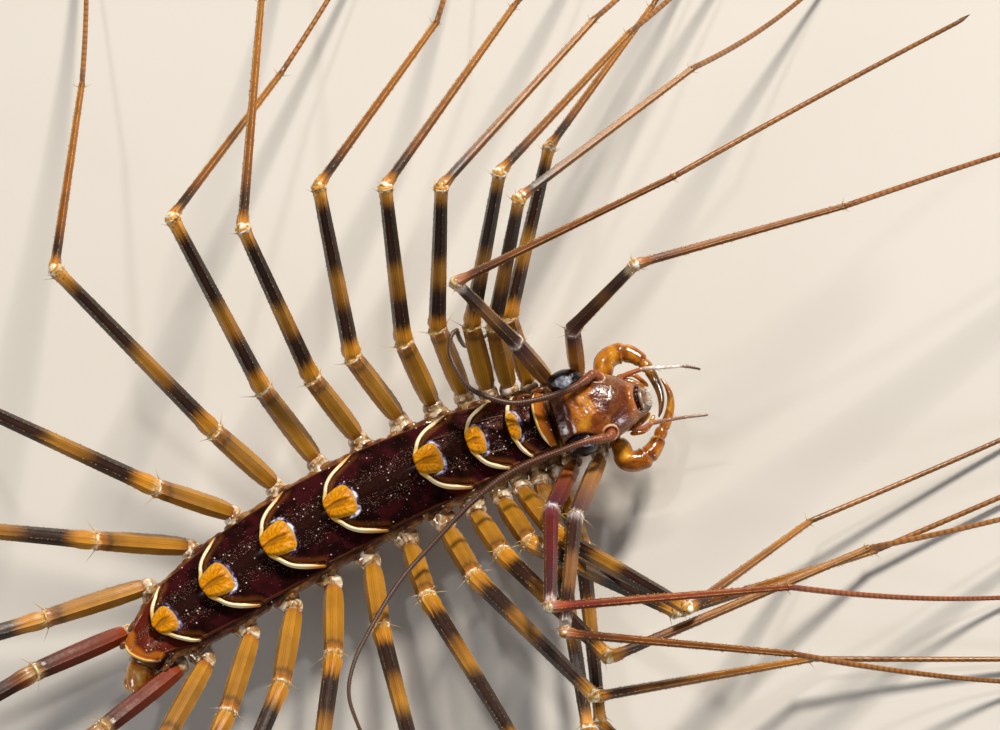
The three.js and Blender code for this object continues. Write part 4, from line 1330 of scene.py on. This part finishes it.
trunkLook = makeTrunkLook()
hipLook = makeFleshLook(
    "hip_skin", (700.0, 4.0, 0.6, 0.5),
    [(0.3, "7c5a34"), (0.45, "b08a54"), (0.6, "cfb083"), (0.75, "e2cfae")],
    0.22, (0.4, 0.00008), (0.5, 0.08), (0.2, (0.0009, 0.0006, 0.0003)))
clawLook = makeClawLook()
trunkCut, trunkGap = trunk["cuts"], trunk["gap"]
makeTrunk("trunk_front", trunk["front"], trunkCut[0] - trunkGap, 1, 8)
makeTrunk("trunk_middle", trunkCut[0] + trunkGap, trunkCut[1] - trunkGap, 9, 12)
makeTrunk("trunk_rear", trunkCut[1] + trunkGap, trunk["tail"], 13, 15)


# The small last segment with its three rounded lobes.
tail = {
    "rings": [(-28.6, 11.2, 1.45, 1.2), (-29.6, 11.15, 1.55, 1.2), (-30.6, 11.0, 1.3, 1.0),
              (-31.6, 10.9, 0.7, 0.6)],
    "from": -28.9, "to": -32.0, "rows": 20, "columns": 18, "wide": 0.62, "high": 0.42,
}


def makeTail():
    shape = newShape()
    bodyTube(shape, tail["rings"], 28, 0.95, 24)
    t = np.linspace(0, 1, tail["rows"])
    full = dome(np.minimum(t * 1.5, 1 - t) * 3 + 0.03, 1.1)
    for hand in (-1, 0, 1):
        station = np.linspace(tail["from"], tail["to"] + 0.5 * abs(hand), tail["rows"])
        path = bodyPoint(station, hand * lerp(0.75, 0.95, t), 11.6 - 0.5 * t - 0.3 * abs(hand))
        section = roundSection(tail["columns"])
        addTube(shape, path, tail["wide"] * full, tail["high"] * full, section, 2.0, 2)
    makePiece("tail_lobes", shape, [trunkLook, hipLook, tailLook], ["tail_end"], trunk["sharp"])


tailLook = makeFleshLook(
    "tail_amber", (650.0, 4.0, 0.6, 0.5),
    [(0.32, "a04616"), (0.46, "cc7c24"), (0.58, "e2a850"), (0.72, "f6e0c4")],
    0.2, (0.4, 0.00008), (0.5, 0.06), (0.2, (0.0009, 0.0005, 0.0003)), "8a3a14")
makeTail()
print("trunk and tail made")


# The head, with rows of half widths and heights along it, and where the eyes and feelers sit.
head = {
    "station": [19.2, 19.7, 20.8, 22.3, 23.8, 25.2, 26.5, 27.6, 28.5, 29.2],
    "half": [2.5, 2.9, 3.3, 3.45, 3.45, 3.2, 2.7, 1.95, 1.42, 0.85],
    "top": [13.9, 14.3, 14.9, 15.2, 15.15, 14.8, 14.15, 13.3, 12.5, 11.8],
    "bottom": [10.9, 10.6, 10.4, 10.4, 10.4, 10.3, 10.3, 10.3, 10.4, 10.6],
    "drift": -0.2, "rows": 120, "columns": 112, "power": 0.85, "sharp": 70,
    "cleft": 27.85, "cleftBend": 0.12,
    # broad humps of the upper side: rise, how far out and how wide, where along and how long
    "humps": ((-0.05, 0, 0.12, 22.6, 1.6), (0.10, 1.2, 0.7, 23.0, 1.3), (-0.16, 1.9, 0.45, 23.1, 0.8),
              (0.12, 0, 1.0, 26.0, 0.9)),
}
eye = {"station": 21.5, "out": 3.35, "height": 13.45, "long": 1.8, "deep": 1.18, "tall": 1.4}
socket = {
    "station": 24.6, "out": {"left": 2.6, "right": 3.05}, "height": 14.1, "columns": 32,
    "at": (-1.4, -0.6, -0.15, 0.08, 0.2, 0.18, 0.02, -0.25, -0.5),
    "wide": (0.98, 0.94, 0.9, 0.86, 0.79, 0.7, 0.63, 0.58, 0.45),
}
# Thin amber jaw parts on both sides of the upper lip: three places and how thick.
jaws = {
    "parts": (((25.6, 2.5, 10.9), (27.2, 2.3, 10.6), (28.8, 1.3, 10.2), 0.36),
              ((26.4, 3.0, 10.3), (28.0, 2.9, 9.9), (29.2, 1.5, 9.6), 0.24)),
    "rows": 40, "columns": 18,
}
headHairs = {"lip": 26, "long": 7, "picked": 260, "lowest": 12.6, "width": 0.018}


# Values along a row of places, without corners at them.
def smoothRow(at, xs, ys):
    slope = np.gradient(ys, xs)
    i = np.clip(np.searchsorted(xs, at) - 1, 0, len(xs) - 2)
    xs, ys = np.asarray(xs), np.asarray(ys)
    gap = xs[i + 1] - xs[i]
    t = (at - xs[i]) / gap
    return ((2 * t ** 3 - 3 * t ** 2 + 1) * ys[i] + (t ** 3 - 2 * t ** 2 + t) * gap * slope[i]
            + (3 * t ** 2 - 2 * t ** 3) * ys[i + 1] + (t ** 3 - t ** 2) * gap * slope[i + 1])


def eyeFrame(which):
    hand = sideOf(which)
    centre = bodyPoint(eye["station"], head["drift"] + hand * eye["out"], eye["height"])
    heading = -eye["station"] / body["radius"] - hand * 0.12
    long = np.array([math.cos(heading), math.sin(heading), 0])
    deep = np.array([-math.sin(heading), math.cos(heading), 0])
    return centre, long, deep, skyward


# How far a place is from an eye's surface, as a share of the eye's size (0 on it).
def eyeReach(points, which):
    centre, long, deep, tall = eyeFrame(which)
    off = points - centre
    parts = [off @ axis / eye[key] for key, axis in (("long", long), ("deep", deep), ("tall", tall))]
    return np.sqrt(parts[0] ** 2 + parts[1] ** 2 + parts[2] ** 2) - 1


def socketPoint(which, outwards):
    left = head["drift"] + sideOf(which) * (socket["out"][which] + 0.55 * outwards)
    return bodyPoint(socket["station"] + 0.2 * outwards, left, socket["height"] + 0.81 * outwards)


def headRelief(where, lateral, upper):
    out = np.abs(lateral)
    relief = -0.10 * hump(where - 21.0, 0.22) * upper  # seam across the back of the head
    for rise, beside, wide, at, long in head["humps"]:
        relief = relief + rise * hump(out - beside, wide) * hump(where - at, long) * upper
    # the cleft lip with its swollen borders
    cleft = where - head["cleft"] - head["cleftBend"] * lateral ** 2
    relief = relief - 0.5 * hump(cleft, 0.2) * ease((1.5 - out) / 0.4) * upper
    relief = relief + 0.16 * hump(cleft + 0.42, 0.24) * ease((1.6 - out) / 0.5) * upper
    relief = relief + 0.3 * hump(cleft - 0.75, 0.42) * hump(lateral, 1.1) * upper
    # fine wrinkles on the lip, along the snout and all over
    ribs = 0.009 * np.sin(lateral * 17 + where) * hump(cleft - 0.7, 0.4)
    relief = relief + ribs * hump(lateral, 0.6) * upper
    waves = 0.007 * np.sin(where * 15 + 2 * np.sin(lateral * 3))
    relief = relief + waves * hump(where - 26.2, 1.2) * upper
    waves = 0.02 * np.sin(where * 5 + 2 * np.sin(lateral * 4))
    return relief + waves * np.sin(lateral * 6 + np.sin(where * 4)) * upper


# A raised pale ring round the root of each feeler.
def addSocket(shape, which):
    outward = unit(socketPoint(which, 1) - socketPoint(which, 0))
    side = unit(np.cross(outward, skyward))
    centres = np.array([socketPoint(which, out) for out in socket["at"]])
    frames = [np.repeat([axis], len(centres), 0) for axis in (side, np.cross(side, outward))]
    wide = socket["wide"]
    addTube(shape, centres, wide, wide, roundSection(socket["columns"]), 0.0, 1, frames=frames)


def addJaws(shape):
    t = np.linspace(0, 1, jaws["rows"])
    for hand in (-1, 1):
        for *places, size in jaws["parts"]:
            places = [bodyPoint(at, hand * out, high) for at, out, high in places]
            path, length = smoothPath(places, jaws["rows"])
            full = size * domedEnds(t, length, 0.03, 0.4, 0.03, 0.6) * (1 - 0.12 * hump(t - 0.45, 0.04))
            addTube(shape, path, full, full * 0.6, roundSection(jaws["columns"]), t * 0.3, 2)


def makeHead():
    shape = newShape()
    rows, columns, drift = head["rows"], head["columns"], head["drift"]
    t = np.linspace(0, 1, rows)
    station = lerp(head["station"][0], head["station"][-1] + 0.15, lerp(t, ease(t), 0.25))
    half, top, bottom = (
        smoothRow(station, head["station"], head[key]) for key in ("half", "top", "bottom"))
    ends = dome((station - station[0]) + 0.02, 0.5) * dome((station[-1] - station) + 0.02, 0.45)
    across, rise = powered(roundSection(columns), head["power"]).T
    left = drift + half[:, None] * ends[:, None] * across
    middle, high = (top + bottom) / 2, (top - bottom) / 2
    height = middle[:, None] + (high * ends)[:, None] * rise
    where = station[:, None] + 0 * left
    upper = ease((rise + 0.1) / 0.4)
    lateral = left - drift
    height = height + headRelief(where, lateral, upper)
    points = bodyPoint(where, left, height)
    for which in hands:  # a hollow for each eye, with a raised border
        near = eyeReach(points, which)
        outward = unit(points - eyeFrame(which)[0])
        push = np.clip(0.06 - near, 0, 0.6)
        away = np.array([0, sideOf(which), 0.25])
        points = points - (push * hump(near, 0.9))[..., None] * away * 1.3
        points = points + (0.11 * hump(near - 0.16, 0.09))[..., None] * outward
    place = np.stack([where, lateral, height], -1)
    roots = np.minimum(*(np.linalg.norm(points - socketPoint(which, 0.1), axis=-1) for which in hands))
    eyes = np.minimum(*(eyeReach(points, which) for which in hands))
    trait = np.stack([roots, eyes, upper + 0 * where], -1)
    poles = [bodyPoint(station[end], drift, middle[end]) for end in (0, -1)]
    poleEnds = poles, [[station[end], 0, middle[end]] for end in (0, -1)], [[9, 9, 0]] * 2
    addCapped(shape, rows, columns, (points, place, trait), poleEnds)
    for which in hands:
        addSocket(shape, which)
    addJaws(shape)
    makePiece("head_capsule", shape, [headLook, socketLook, clawLook], ["head"], head["sharp"])
    makeHeadHairs(*(part.reshape(-1, 3) for part in (points, place, trait)))


# Pale bristles on the upper lip, and sparse short ones over the head.
def makeHeadHairs(points, place, trait):
    hairs, count, drift = newShape(), headHairs["lip"], head["drift"]
    lip = chance.uniform(-0.9, 0.9, count)
    roots = bodyPoint(28.45 + 0.5 * chance.random(count), drift + lip, 12.45 - 0.2 * lip ** 2)
    lean = np.stack([np.full(count, 1.0), lip * 0.8, np.full(count, 0.25)], -1)
    patches = np.stack([(lip + 1) * 0.2 + 0.02, chance.uniform(0.02, 0.2, count)], -1)
    long = np.arange(count) < headHairs["long"]
    reach = np.where(long, 0.95, 0.4) * chance.uniform(0.8, 1.1, count)
    addSpines(hairs, roots, lean, reach, np.where(long, 0.045, 0.022), 0, patches)
    picks = chance.choice(head["rows"] * head["columns"], headHairs["picked"], False)
    bare = (place[picks, 2] > headHairs["lowest"]) & (trait[picks, 1] > 0.25) & (trait[picks, 0] > 1.0)
    picks = picks[bare]
    normals = unit(points[picks] - bodyPoint(place[picks, 0], drift, 11.5))
    strip = 0.55 + 0.04 * (place[picks, 1] + 4)
    patches = np.stack([strip, (place[picks, 0] - 19) * 0.09 + 0.01], -1)
    lengths = chance.uniform(0.08, 0.22, len(picks))
    lean = normals + np.array([0.6, 0, 0])
    addSpines(hairs, points[picks], lean, lengths, headHairs["width"], 0, patches)
    makePiece("head_hairs", hairs, [spineLook("head_hair", "c0a080", "fffaf0")], [])


def makeHeadLook():
    look = newLook("head_capsule")
    station, lateral, _ = field("place")
    eyeNear, upper = field("trait")[1:]
    soft, fine = noise(380.0, 5.0, 0.6, 0.8), noise(1700.0, 4.0, 0.6)
    # bands from the back of the head to the snout, with amber blotches
    ahead = plus(station, times(minus(soft, 0.5), 1.6))
    along = maths("MULTIPLY_ADD", ahead, 0.1, -1.9)
    tone = ramp(along, [
        (0.0, "3c120a"), (0.13, "340f08"), (0.2, "4c1c0a"), (0.24, "a85e10"), (0.33, "b06a12"),
        (0.42, "8c440e"), (0.55, "4c2012"), (0.68, "4a2218"), (0.78, "602a14"), (0.85, "94500f"),
        (0.89, "74523e"), (1.0, "7a6450"),
    ], True)
    blotch = [(0.38, "4c1c0a"), (0.48, "84420e"), (0.56, "bc7214"), (0.68, "dc9e30")]
    blotch = ramp(noise(620.0, 4.0, 0.55, 0.5), blotch, True)
    blotched = [(0.2, 0.1), (0.3, 0.75), (0.45, 0.6), (0.6, 0.2), (0.8, 0.12), (1.0, 0.05)]
    tone = mix(ramp(along, blotched), tone, blotch)
    out = maths("ABSOLUTE", lateral)
    tone = mix(ramp(times(out, 0.25), [(0.55, 0.0), (0.84, 0.6)], True), tone, "9c500e")
    # the cleft lip: an amber border, the cleft painted dark as shade with pale bits of its own, and the
    # glassy part before it
    bend = times(lateral, lateral, head["cleftBend"])
    bent = minus(minus(station, head["cleft"]), bend)
    within = ramp(times(out, 0.5), [(0.66, 1.0), (0.78, 0.0)])
    lip = ramp(plus(bent, 1.0), [(0.1, 0.0), (0.5, 0.75), (0.8, 0.8), (0.9, 0.0)], True)
    lip = times(lip, ramp(soft, [(0.38, 0.15), (0.6, 1.0)]), within, upper)
    tone = mix(lip, tone, "aa6420")
    ragged = plus(bent, times(minus(fine, 0.5), 0.4))
    cleft = ramp(maths("ABSOLUTE", ragged), [(0.14, 1.0), (0.26, 0.0)], True)
    cleftShadeTones = ramp(noise(2600.0, 2.0), [(0.5, "1c0805"), (0.62, "5c1408"), (0.7, "d0a890")])
    tone = mix(times(cleft, within, upper), tone, cleftShadeTones)
    glassy = ramp(soft, [(0.36, "4a2a18"), (0.5, "7c5c44"), (0.64, "c8bcae")], True)
    tone = mix(times(ramp(bent, [(0.25, 0.0), (0.5, 1.0)]), 0.8), tone, glassy)
    tone = mix(ramp(eyeNear, [(0.04, 0.9), (0.2, 0.5), (0.4, 0.0)]), tone, "5a3020")
    wrinkled = plus(soft, times(fine, 0.6), times(noise(950.0, 2.0), 0.7))
    finishLook(tone, ramp(fine, [(0.3, 0.13), (0.7, 0.28)]), (wrinkled, 0.7, 0.0002), (0.55, 0.05),
               (0.22, (0.0012, 0.0005, 0.0002)))
    return look


headLook = makeHeadLook()
socketLook = makeFleshLook(
    "feeler_socket", (900.0, 4.0), [(0.35, "a4562a"), (0.5, "cf9a78"), (0.65, "ecd2c0")],
    0.16, (0.3, 0.00006), (0.6, 0.05), (0.2, (0.0009, 0.0005, 0.0003)))
makeHead()


# The eyes: many small domed facets, laid out as evenly as seeds on a ball.
facets = {"count": 560, "rows": 150, "columns": 240, "rise": 0.018, "grow": 0.02, "pinch": 0.12}
# Where a painted reflection sits on each eye: the direction of its middle, and a shift that makes it
# smaller.
paintedReflection = {"left": ((-0.3, 0.92, -0.05), 0), "right": ((-0.3, 0.92, 0.3), 0.3)}


def makeEye(which):
    centre, long, deep, tall = eyeFrame(which)
    index = np.arange(facets["count"]) + 0.5
    tilt = np.arccos(1 - 2 * index / facets["count"])
    spin = np.pi * (1 + 5 ** 0.5) * index
    seeds = np.stack([np.cos(spin) * np.sin(tilt), np.sin(spin) * np.sin(tilt), np.cos(tilt)], -1)
    rows, columns = facets["rows"], facets["columns"]
    down = np.linspace(0.01, np.pi - 0.01, rows)[:, None]
    turn = turnsRound(columns)[None]
    up = np.cos(down) + 0 * turn
    ball = np.stack([np.cos(turn) * np.sin(down), np.sin(turn) * np.sin(down), up], -1)
    flat = ball.reshape(-1, 3)
    angles = [np.arccos(np.clip(part @ seeds.T, -1, 1)) for part in np.array_split(flat, 40)]
    near = np.concatenate([np.sort(part, axis=1)[:, :2] for part in angles])
    spacing = math.sqrt(4 * math.pi / facets["count"])
    border = (near[:, 1] - near[:, 0])[:, None] / spacing
    dip = np.clip(near[:, 0].reshape(rows, columns) / spacing / 0.6, 0, 1.2) ** 2
    size = np.array([eye["deep"], eye["tall"], eye["long"]]) + facets["grow"]
    pinch = 1 - facets["pinch"] * ball[..., 2:] * (ball[..., 2:] < 0) * -1  # a little pointed behind
    pinch = np.concatenate([pinch, pinch, np.ones_like(pinch)], -1)
    domed = 1 - facets["rise"] * dip[..., None]
    points = centre + (ball * size * pinch * domed) @ np.array([deep, tall, long])
    place = np.concatenate([border, flat[:, :2]], -1)
    toward, further = paintedReflection[which]
    away = np.arccos(np.clip(flat @ unit(toward), -1, 1))[:, None] + further
    ends = points[[0, -1]].mean(1), [[1, 0, 0]] * 2, np.ones((2, 3))
    shape = newShape()
    addCapped(shape, rows, columns, (points, place, np.repeat(away, 3, 1)), ends)
    makePiece(f"eye_{which}_facets", shape, [eyeLook], [f"eye_{which}"])


def makeEyeLook():
    look = newLook("eye")
    border, reflectionNear = field("place")[0], field("trait")[0]
    soft = noise(900.0)
    tone = ramp(border, [(0.0, "040304"), (0.3, "0a070a"), (0.8, "140e14")])
    tone = mix(times(soft, 0.5), tone, "0e0a12")
    # a painted blue-grey reflection on the upper facets
    reflectionMask = plus(reflectionNear, times(minus(soft, 0.5), 0.5))
    reflectionMask = ramp(reflectionMask, [(0.36, 1.0), (0.6, 0.0)], True)
    reflectionMask = times(reflectionMask, ramp(border, [(0.0, 0.35), (0.3, 1.0)]))
    reflectionTone = ramp(noise(2600.0, 2.0), [(0.36, "8698b4"), (0.5, "c0cede"), (0.62, "ffffff")])
    finishLook(mix(reflectionMask, tone, reflectionTone), 0.12, coat=(0.25, 0.06), more={"Specular IOR Level": 0.4})
    return look


eyeLook = makeEyeLook()
for which in hands:
    makeEye(which)
print("head and eyes made")


# The feelers, with fine rings and short hairs; the base is swollen in two steps.
feelers = {
    "left": [
        (23.6, 2.2, 15.6), (22.4, 1.7, 16.0), (20.7, 1.4, 16.4), (16.4, 1.7, 17.0), (14.1, 3.1, 17.5),
        (12.8, 4.5, 18.0), (12.3, 6.4, 18.5), (12.3, 8.5, 18.6), (12.9, 9.8, 18.7), (13.5, 10.3, 18.2),
        (13.45, 10.3, 16.6), (13.4, 10.3, 14), (13.5, 10.5, 11), (14.1, 11.0, 8.8), (15.4, 11.8, 7.2),
        (17.0, 12.7, 6.2), (19.4, 14.8, 5.4),
    ],
    "right": [
        (23.5, -3.9, 15.5), (22.4, -3.9, 15.9), (20.8, -4.0, 16.2), (19.2, -4.2, 16.5),
        (16.0, -4.4, 16.7), (12.5, -5.0, 16.9), (8.7, -6.3, 17.1), (3.5, -8.5, 17.6),
        (-1.2, -10.5, 18.4), (-6.4, -13.5, 19.6), (-9.9, -15.8, 20.4), (-12.0, -18.0, 20.7),
        (-13.0, -20.8, 20.4), (-13.6, -24.4, 19.4), (-13.6, -28.0, 17.4), (-13.0, -31.4, 14.6),
    ],
    "ring": 0.27, "perRing": 3, "columns": 12, "hairs": 12, "firstHair": 4, "from": 0.36, "to": 0.15,
    "baseAt": [0, 0.8, 1.5, 1.62, 1.8, 2.6, 3.3, 3.42, 3.6, 5.5],
    "base": [0.3, 0.5, 0.4, 0.1, 0.32, 0.3, 0.18, 0.0, 0.12, 0],
}


def makeFeeler(which):
    perRing = feelers["perRing"]
    starts = [socketPoint(which, -0.2), socketPoint(which, 0.35)]
    starts.append(socketPoint(which, 0.8) - bodyPoint(0.45, 0, 0) + bodyPoint(0, 0, 0))
    places = starts + [bodyPoint(*place) for place in feelers[which]]
    length = smoothPath(places, 50)[1]
    count = int(length / feelers["ring"]) * perRing
    centres, length = smoothPath(places, count + 1)
    t = np.linspace(0, 1, count + 1)
    phase = np.arange(count + 1) % perRing
    radius = lerp(feelers["from"], feelers["to"], t ** 0.7)
    radius = radius * (1 - 0.13 * (phase == 0) + 0.02 * (phase == perRing - 1))
    radius *= 1 + np.interp(t * length, feelers["baseAt"], feelers["base"])
    radius[-3:] *= (0.85, 0.6, 0.25)
    shape = newShape()
    edge = (phase == 0)[:, None] * 1.0
    addTube(shape, centres, radius, radius, roundSection(feelers["columns"]), t, 0, edge)
    makePiece(f"antenna_{which}_lash", shape, [feelerLook], [f"antenna_{which}"])
    rows = np.repeat(np.arange(feelers["firstHair"], count, perRing), feelers["hairs"])
    addHairsRound(feelerHairs, which, centres, radius, rows, 0.9, 0.16, (0.6, 1.3), 0.016)


def makeFeelerLook():
    look = newLook("feeler")
    along, ring, soft = field("place")[0], field("trait")[0], noise(700.0, 4.0)
    tone = ramp(along, [(0.0, "9c4818"), (0.05, "86401a"), (0.14, "5a2c18"), (0.3, "40241a"),
                        (0.6, "3a231a"), (1.0, "54382a")])
    tone = mix(times(soft, 0.35), tone, "6e4a30")
    tone = mix(times(ring, 0.6), tone, "1c0d08")
    finishLook(tone, 0.42, (soft, 0.3, 0.00004), (0.15, 0.2))
    return look


feelerLook = makeFeelerLook()
feelerHairs = newShape()
for which in hands:
    makeFeeler(which)
makePiece("feeler_hairs", feelerHairs, [spineLook("feeler_hair", "5a3a26", "b08a5c")], [])


# The centres and radii of a rod that is thinner at its joints and thicker right before them.
def jointedRod(part, which, starts):
    places = starts + [bodyPoint(*place) for place in part[which]]
    centres, length = smoothPath(places, part["rings"])
    t = np.linspace(0, 1, part["rings"])
    radius = np.interp(t, part["at"], part["wide"])
    radius = radius * domedEnds(t, length, 0.03, part["ends"][0], 0.01, part["ends"][1])
    for joint in part["joints"]:
        waist = part["waist"] * hump(t - joint, 0.012)
        radius = radius * (1 - waist + part["swell"] * hump(t - joint + part["before"], part["long"]))
    return centres, radius, t


# The poison claws: stout amber joints that end in a dark hooked tip.
claws = {
    "left": [(25.6, 5.1, 9.2), (26.6, 5.6, 9.1), (27.7, 5.5, 9.0), (28.7, 4.8, 9.0), (29.5, 3.4, 9.1),
             (30.0, 1.8, 9.2), (30.2, 0.3, 9.5), (30.0, -1.0, 9.8), (29.6, -1.9, 9.9)],
    "right": [(25.3, -5.1, 9.1), (26.2, -5.5, 8.9), (27.4, -5.3, 8.7), (28.6, -4.4, 8.5),
              (29.4, -3.2, 8.3), (30.3, -2.0, 8.1), (30.9, -0.7, 8.0), (31.1, 0.5, 8.0),
              (30.9, 1.6, 8.1), (30.5, 2.4, 8.2)],
    "starts": (0.0, 0.3, 0.7), "joints": (0.33, 0.5, 0.58), "rings": 130, "columns": 28,
    "flat": 0.94, "ends": (0.35, 0.12), "sharp": 80,
    "at": [0, 0.06, 0.16, 0.3, 0.4, 0.5, 0.6, 0.72, 0.85, 0.95, 1],
    "wide": [0.85, 1.0, 1.12, 1.06, 0.88, 0.68, 0.56, 0.46, 0.34, 0.2, 0.08],
    "waist": 0.16, "swell": 0.07, "before": 0.03, "long": 0.018, "light": {"left": 0.0, "right": 0.8},
}


def makeClaw(which):
    starts = [clawSeat(which, at) for at in claws["starts"]]
    centres, radius, t = jointedRod(claws, which, starts)
    shape, section, light = newShape(), roundSection(claws["columns"]), claws["light"][which]
    addTube(shape, centres, radius, radius * claws["flat"], section, t, seed=light)
    name = f"forcipule_{which}"
    makePiece(name + "_hook", shape, [clawLook], [name], claws["sharp"])


for which in hands:
    makeClaw(which)


# The palps: thin jointed rods with bristles, the left one pale with a white middle painted as a
# highlight, the right one speckled.
palps = {
    "left": [(29.2, 3.0, 11.1), (31.2, 2.7, 11.1), (32.9, 2.5, 11.0), (34.6, 2.0, 10.5)],
    "right": [(28.7, -2.6, 10.9), (31.7, -2.6, 10.8), (34.6, -2.7, 10.4)],
    "starts": ((26.6, 2.6, 10.8), (27.2, 2.8, 10.9), (27.8, 2.9, 11.0)),
    "joints": (0.3, 0.52, 0.74), "rings": 90, "columns": 14, "ends": (0.3, 0.3), "hairs": 90,
    "firstHair": 20,
    "at": [0, 0.3, 0.6, 1], "wide": [0.3, 0.22, 0.17, 0.11],
    "waist": 0.22, "swell": 0.14, "before": 0.025, "long": 0.02,
}
palpTones = {
    # the left palp's white middle is a painted highlight
    "palp_painted_highlight": [(0.0, "a8561c"), (0.28, "a8663a"), (0.36, "d0b8a4"), (0.44, "fffaf4"),
                    (0.72, "fffaf4"), (0.78, "7a5646"), (1.0, "4a3028")],
    "palp_speckled": [(0.0, "a8561c"), (0.35, "9c6a4c"), (0.7, "8e6c58"), (1.0, "6a4c3c")],
}


def makePalp(which, look):
    starts = [bodyPoint(at, sideOf(which) * out, high) for at, out, high in palps["starts"]]
    centres, radius, t = jointedRod(palps, which, starts)
    shape = newShape()
    addTube(shape, centres, radius, radius, roundSection(palps["columns"]), t)
    makePiece(f"palp_{which}_rod", shape, [look], [f"palp_{which}"])
    rows = chance.integers(palps["firstHair"], palps["rings"] - 2, palps["hairs"])
    addHairsRound(palpHairs, which, centres, radius, rows, 0.8, 0.3, (0.5, 1.3), 0.024)


def makePalpLook(name):
    look = newLook(name)
    soft = noise(1500.0, 4.0)
    tone = ramp(field("place")[0], palpTones[name])
    tone = mix(ramp(soft, [(0.48, 0.0), (0.68, 0.5)]), tone, "6a3a24")
    finishLook(tone, 0.2, (soft, 0.3, 0.00004), (0.5, 0.06), (0.15, (0.0006, 0.0004, 0.0002)))
    return look


palpHairs = newShape()
for which, name in zip(hands, palpTones):
    makePalp(which, makePalpLook(name))
makePiece("palp_hairs", palpHairs, [spineLook("palp_hair", "6a4630", "d8c4a8")], [])
print("mouthparts made")
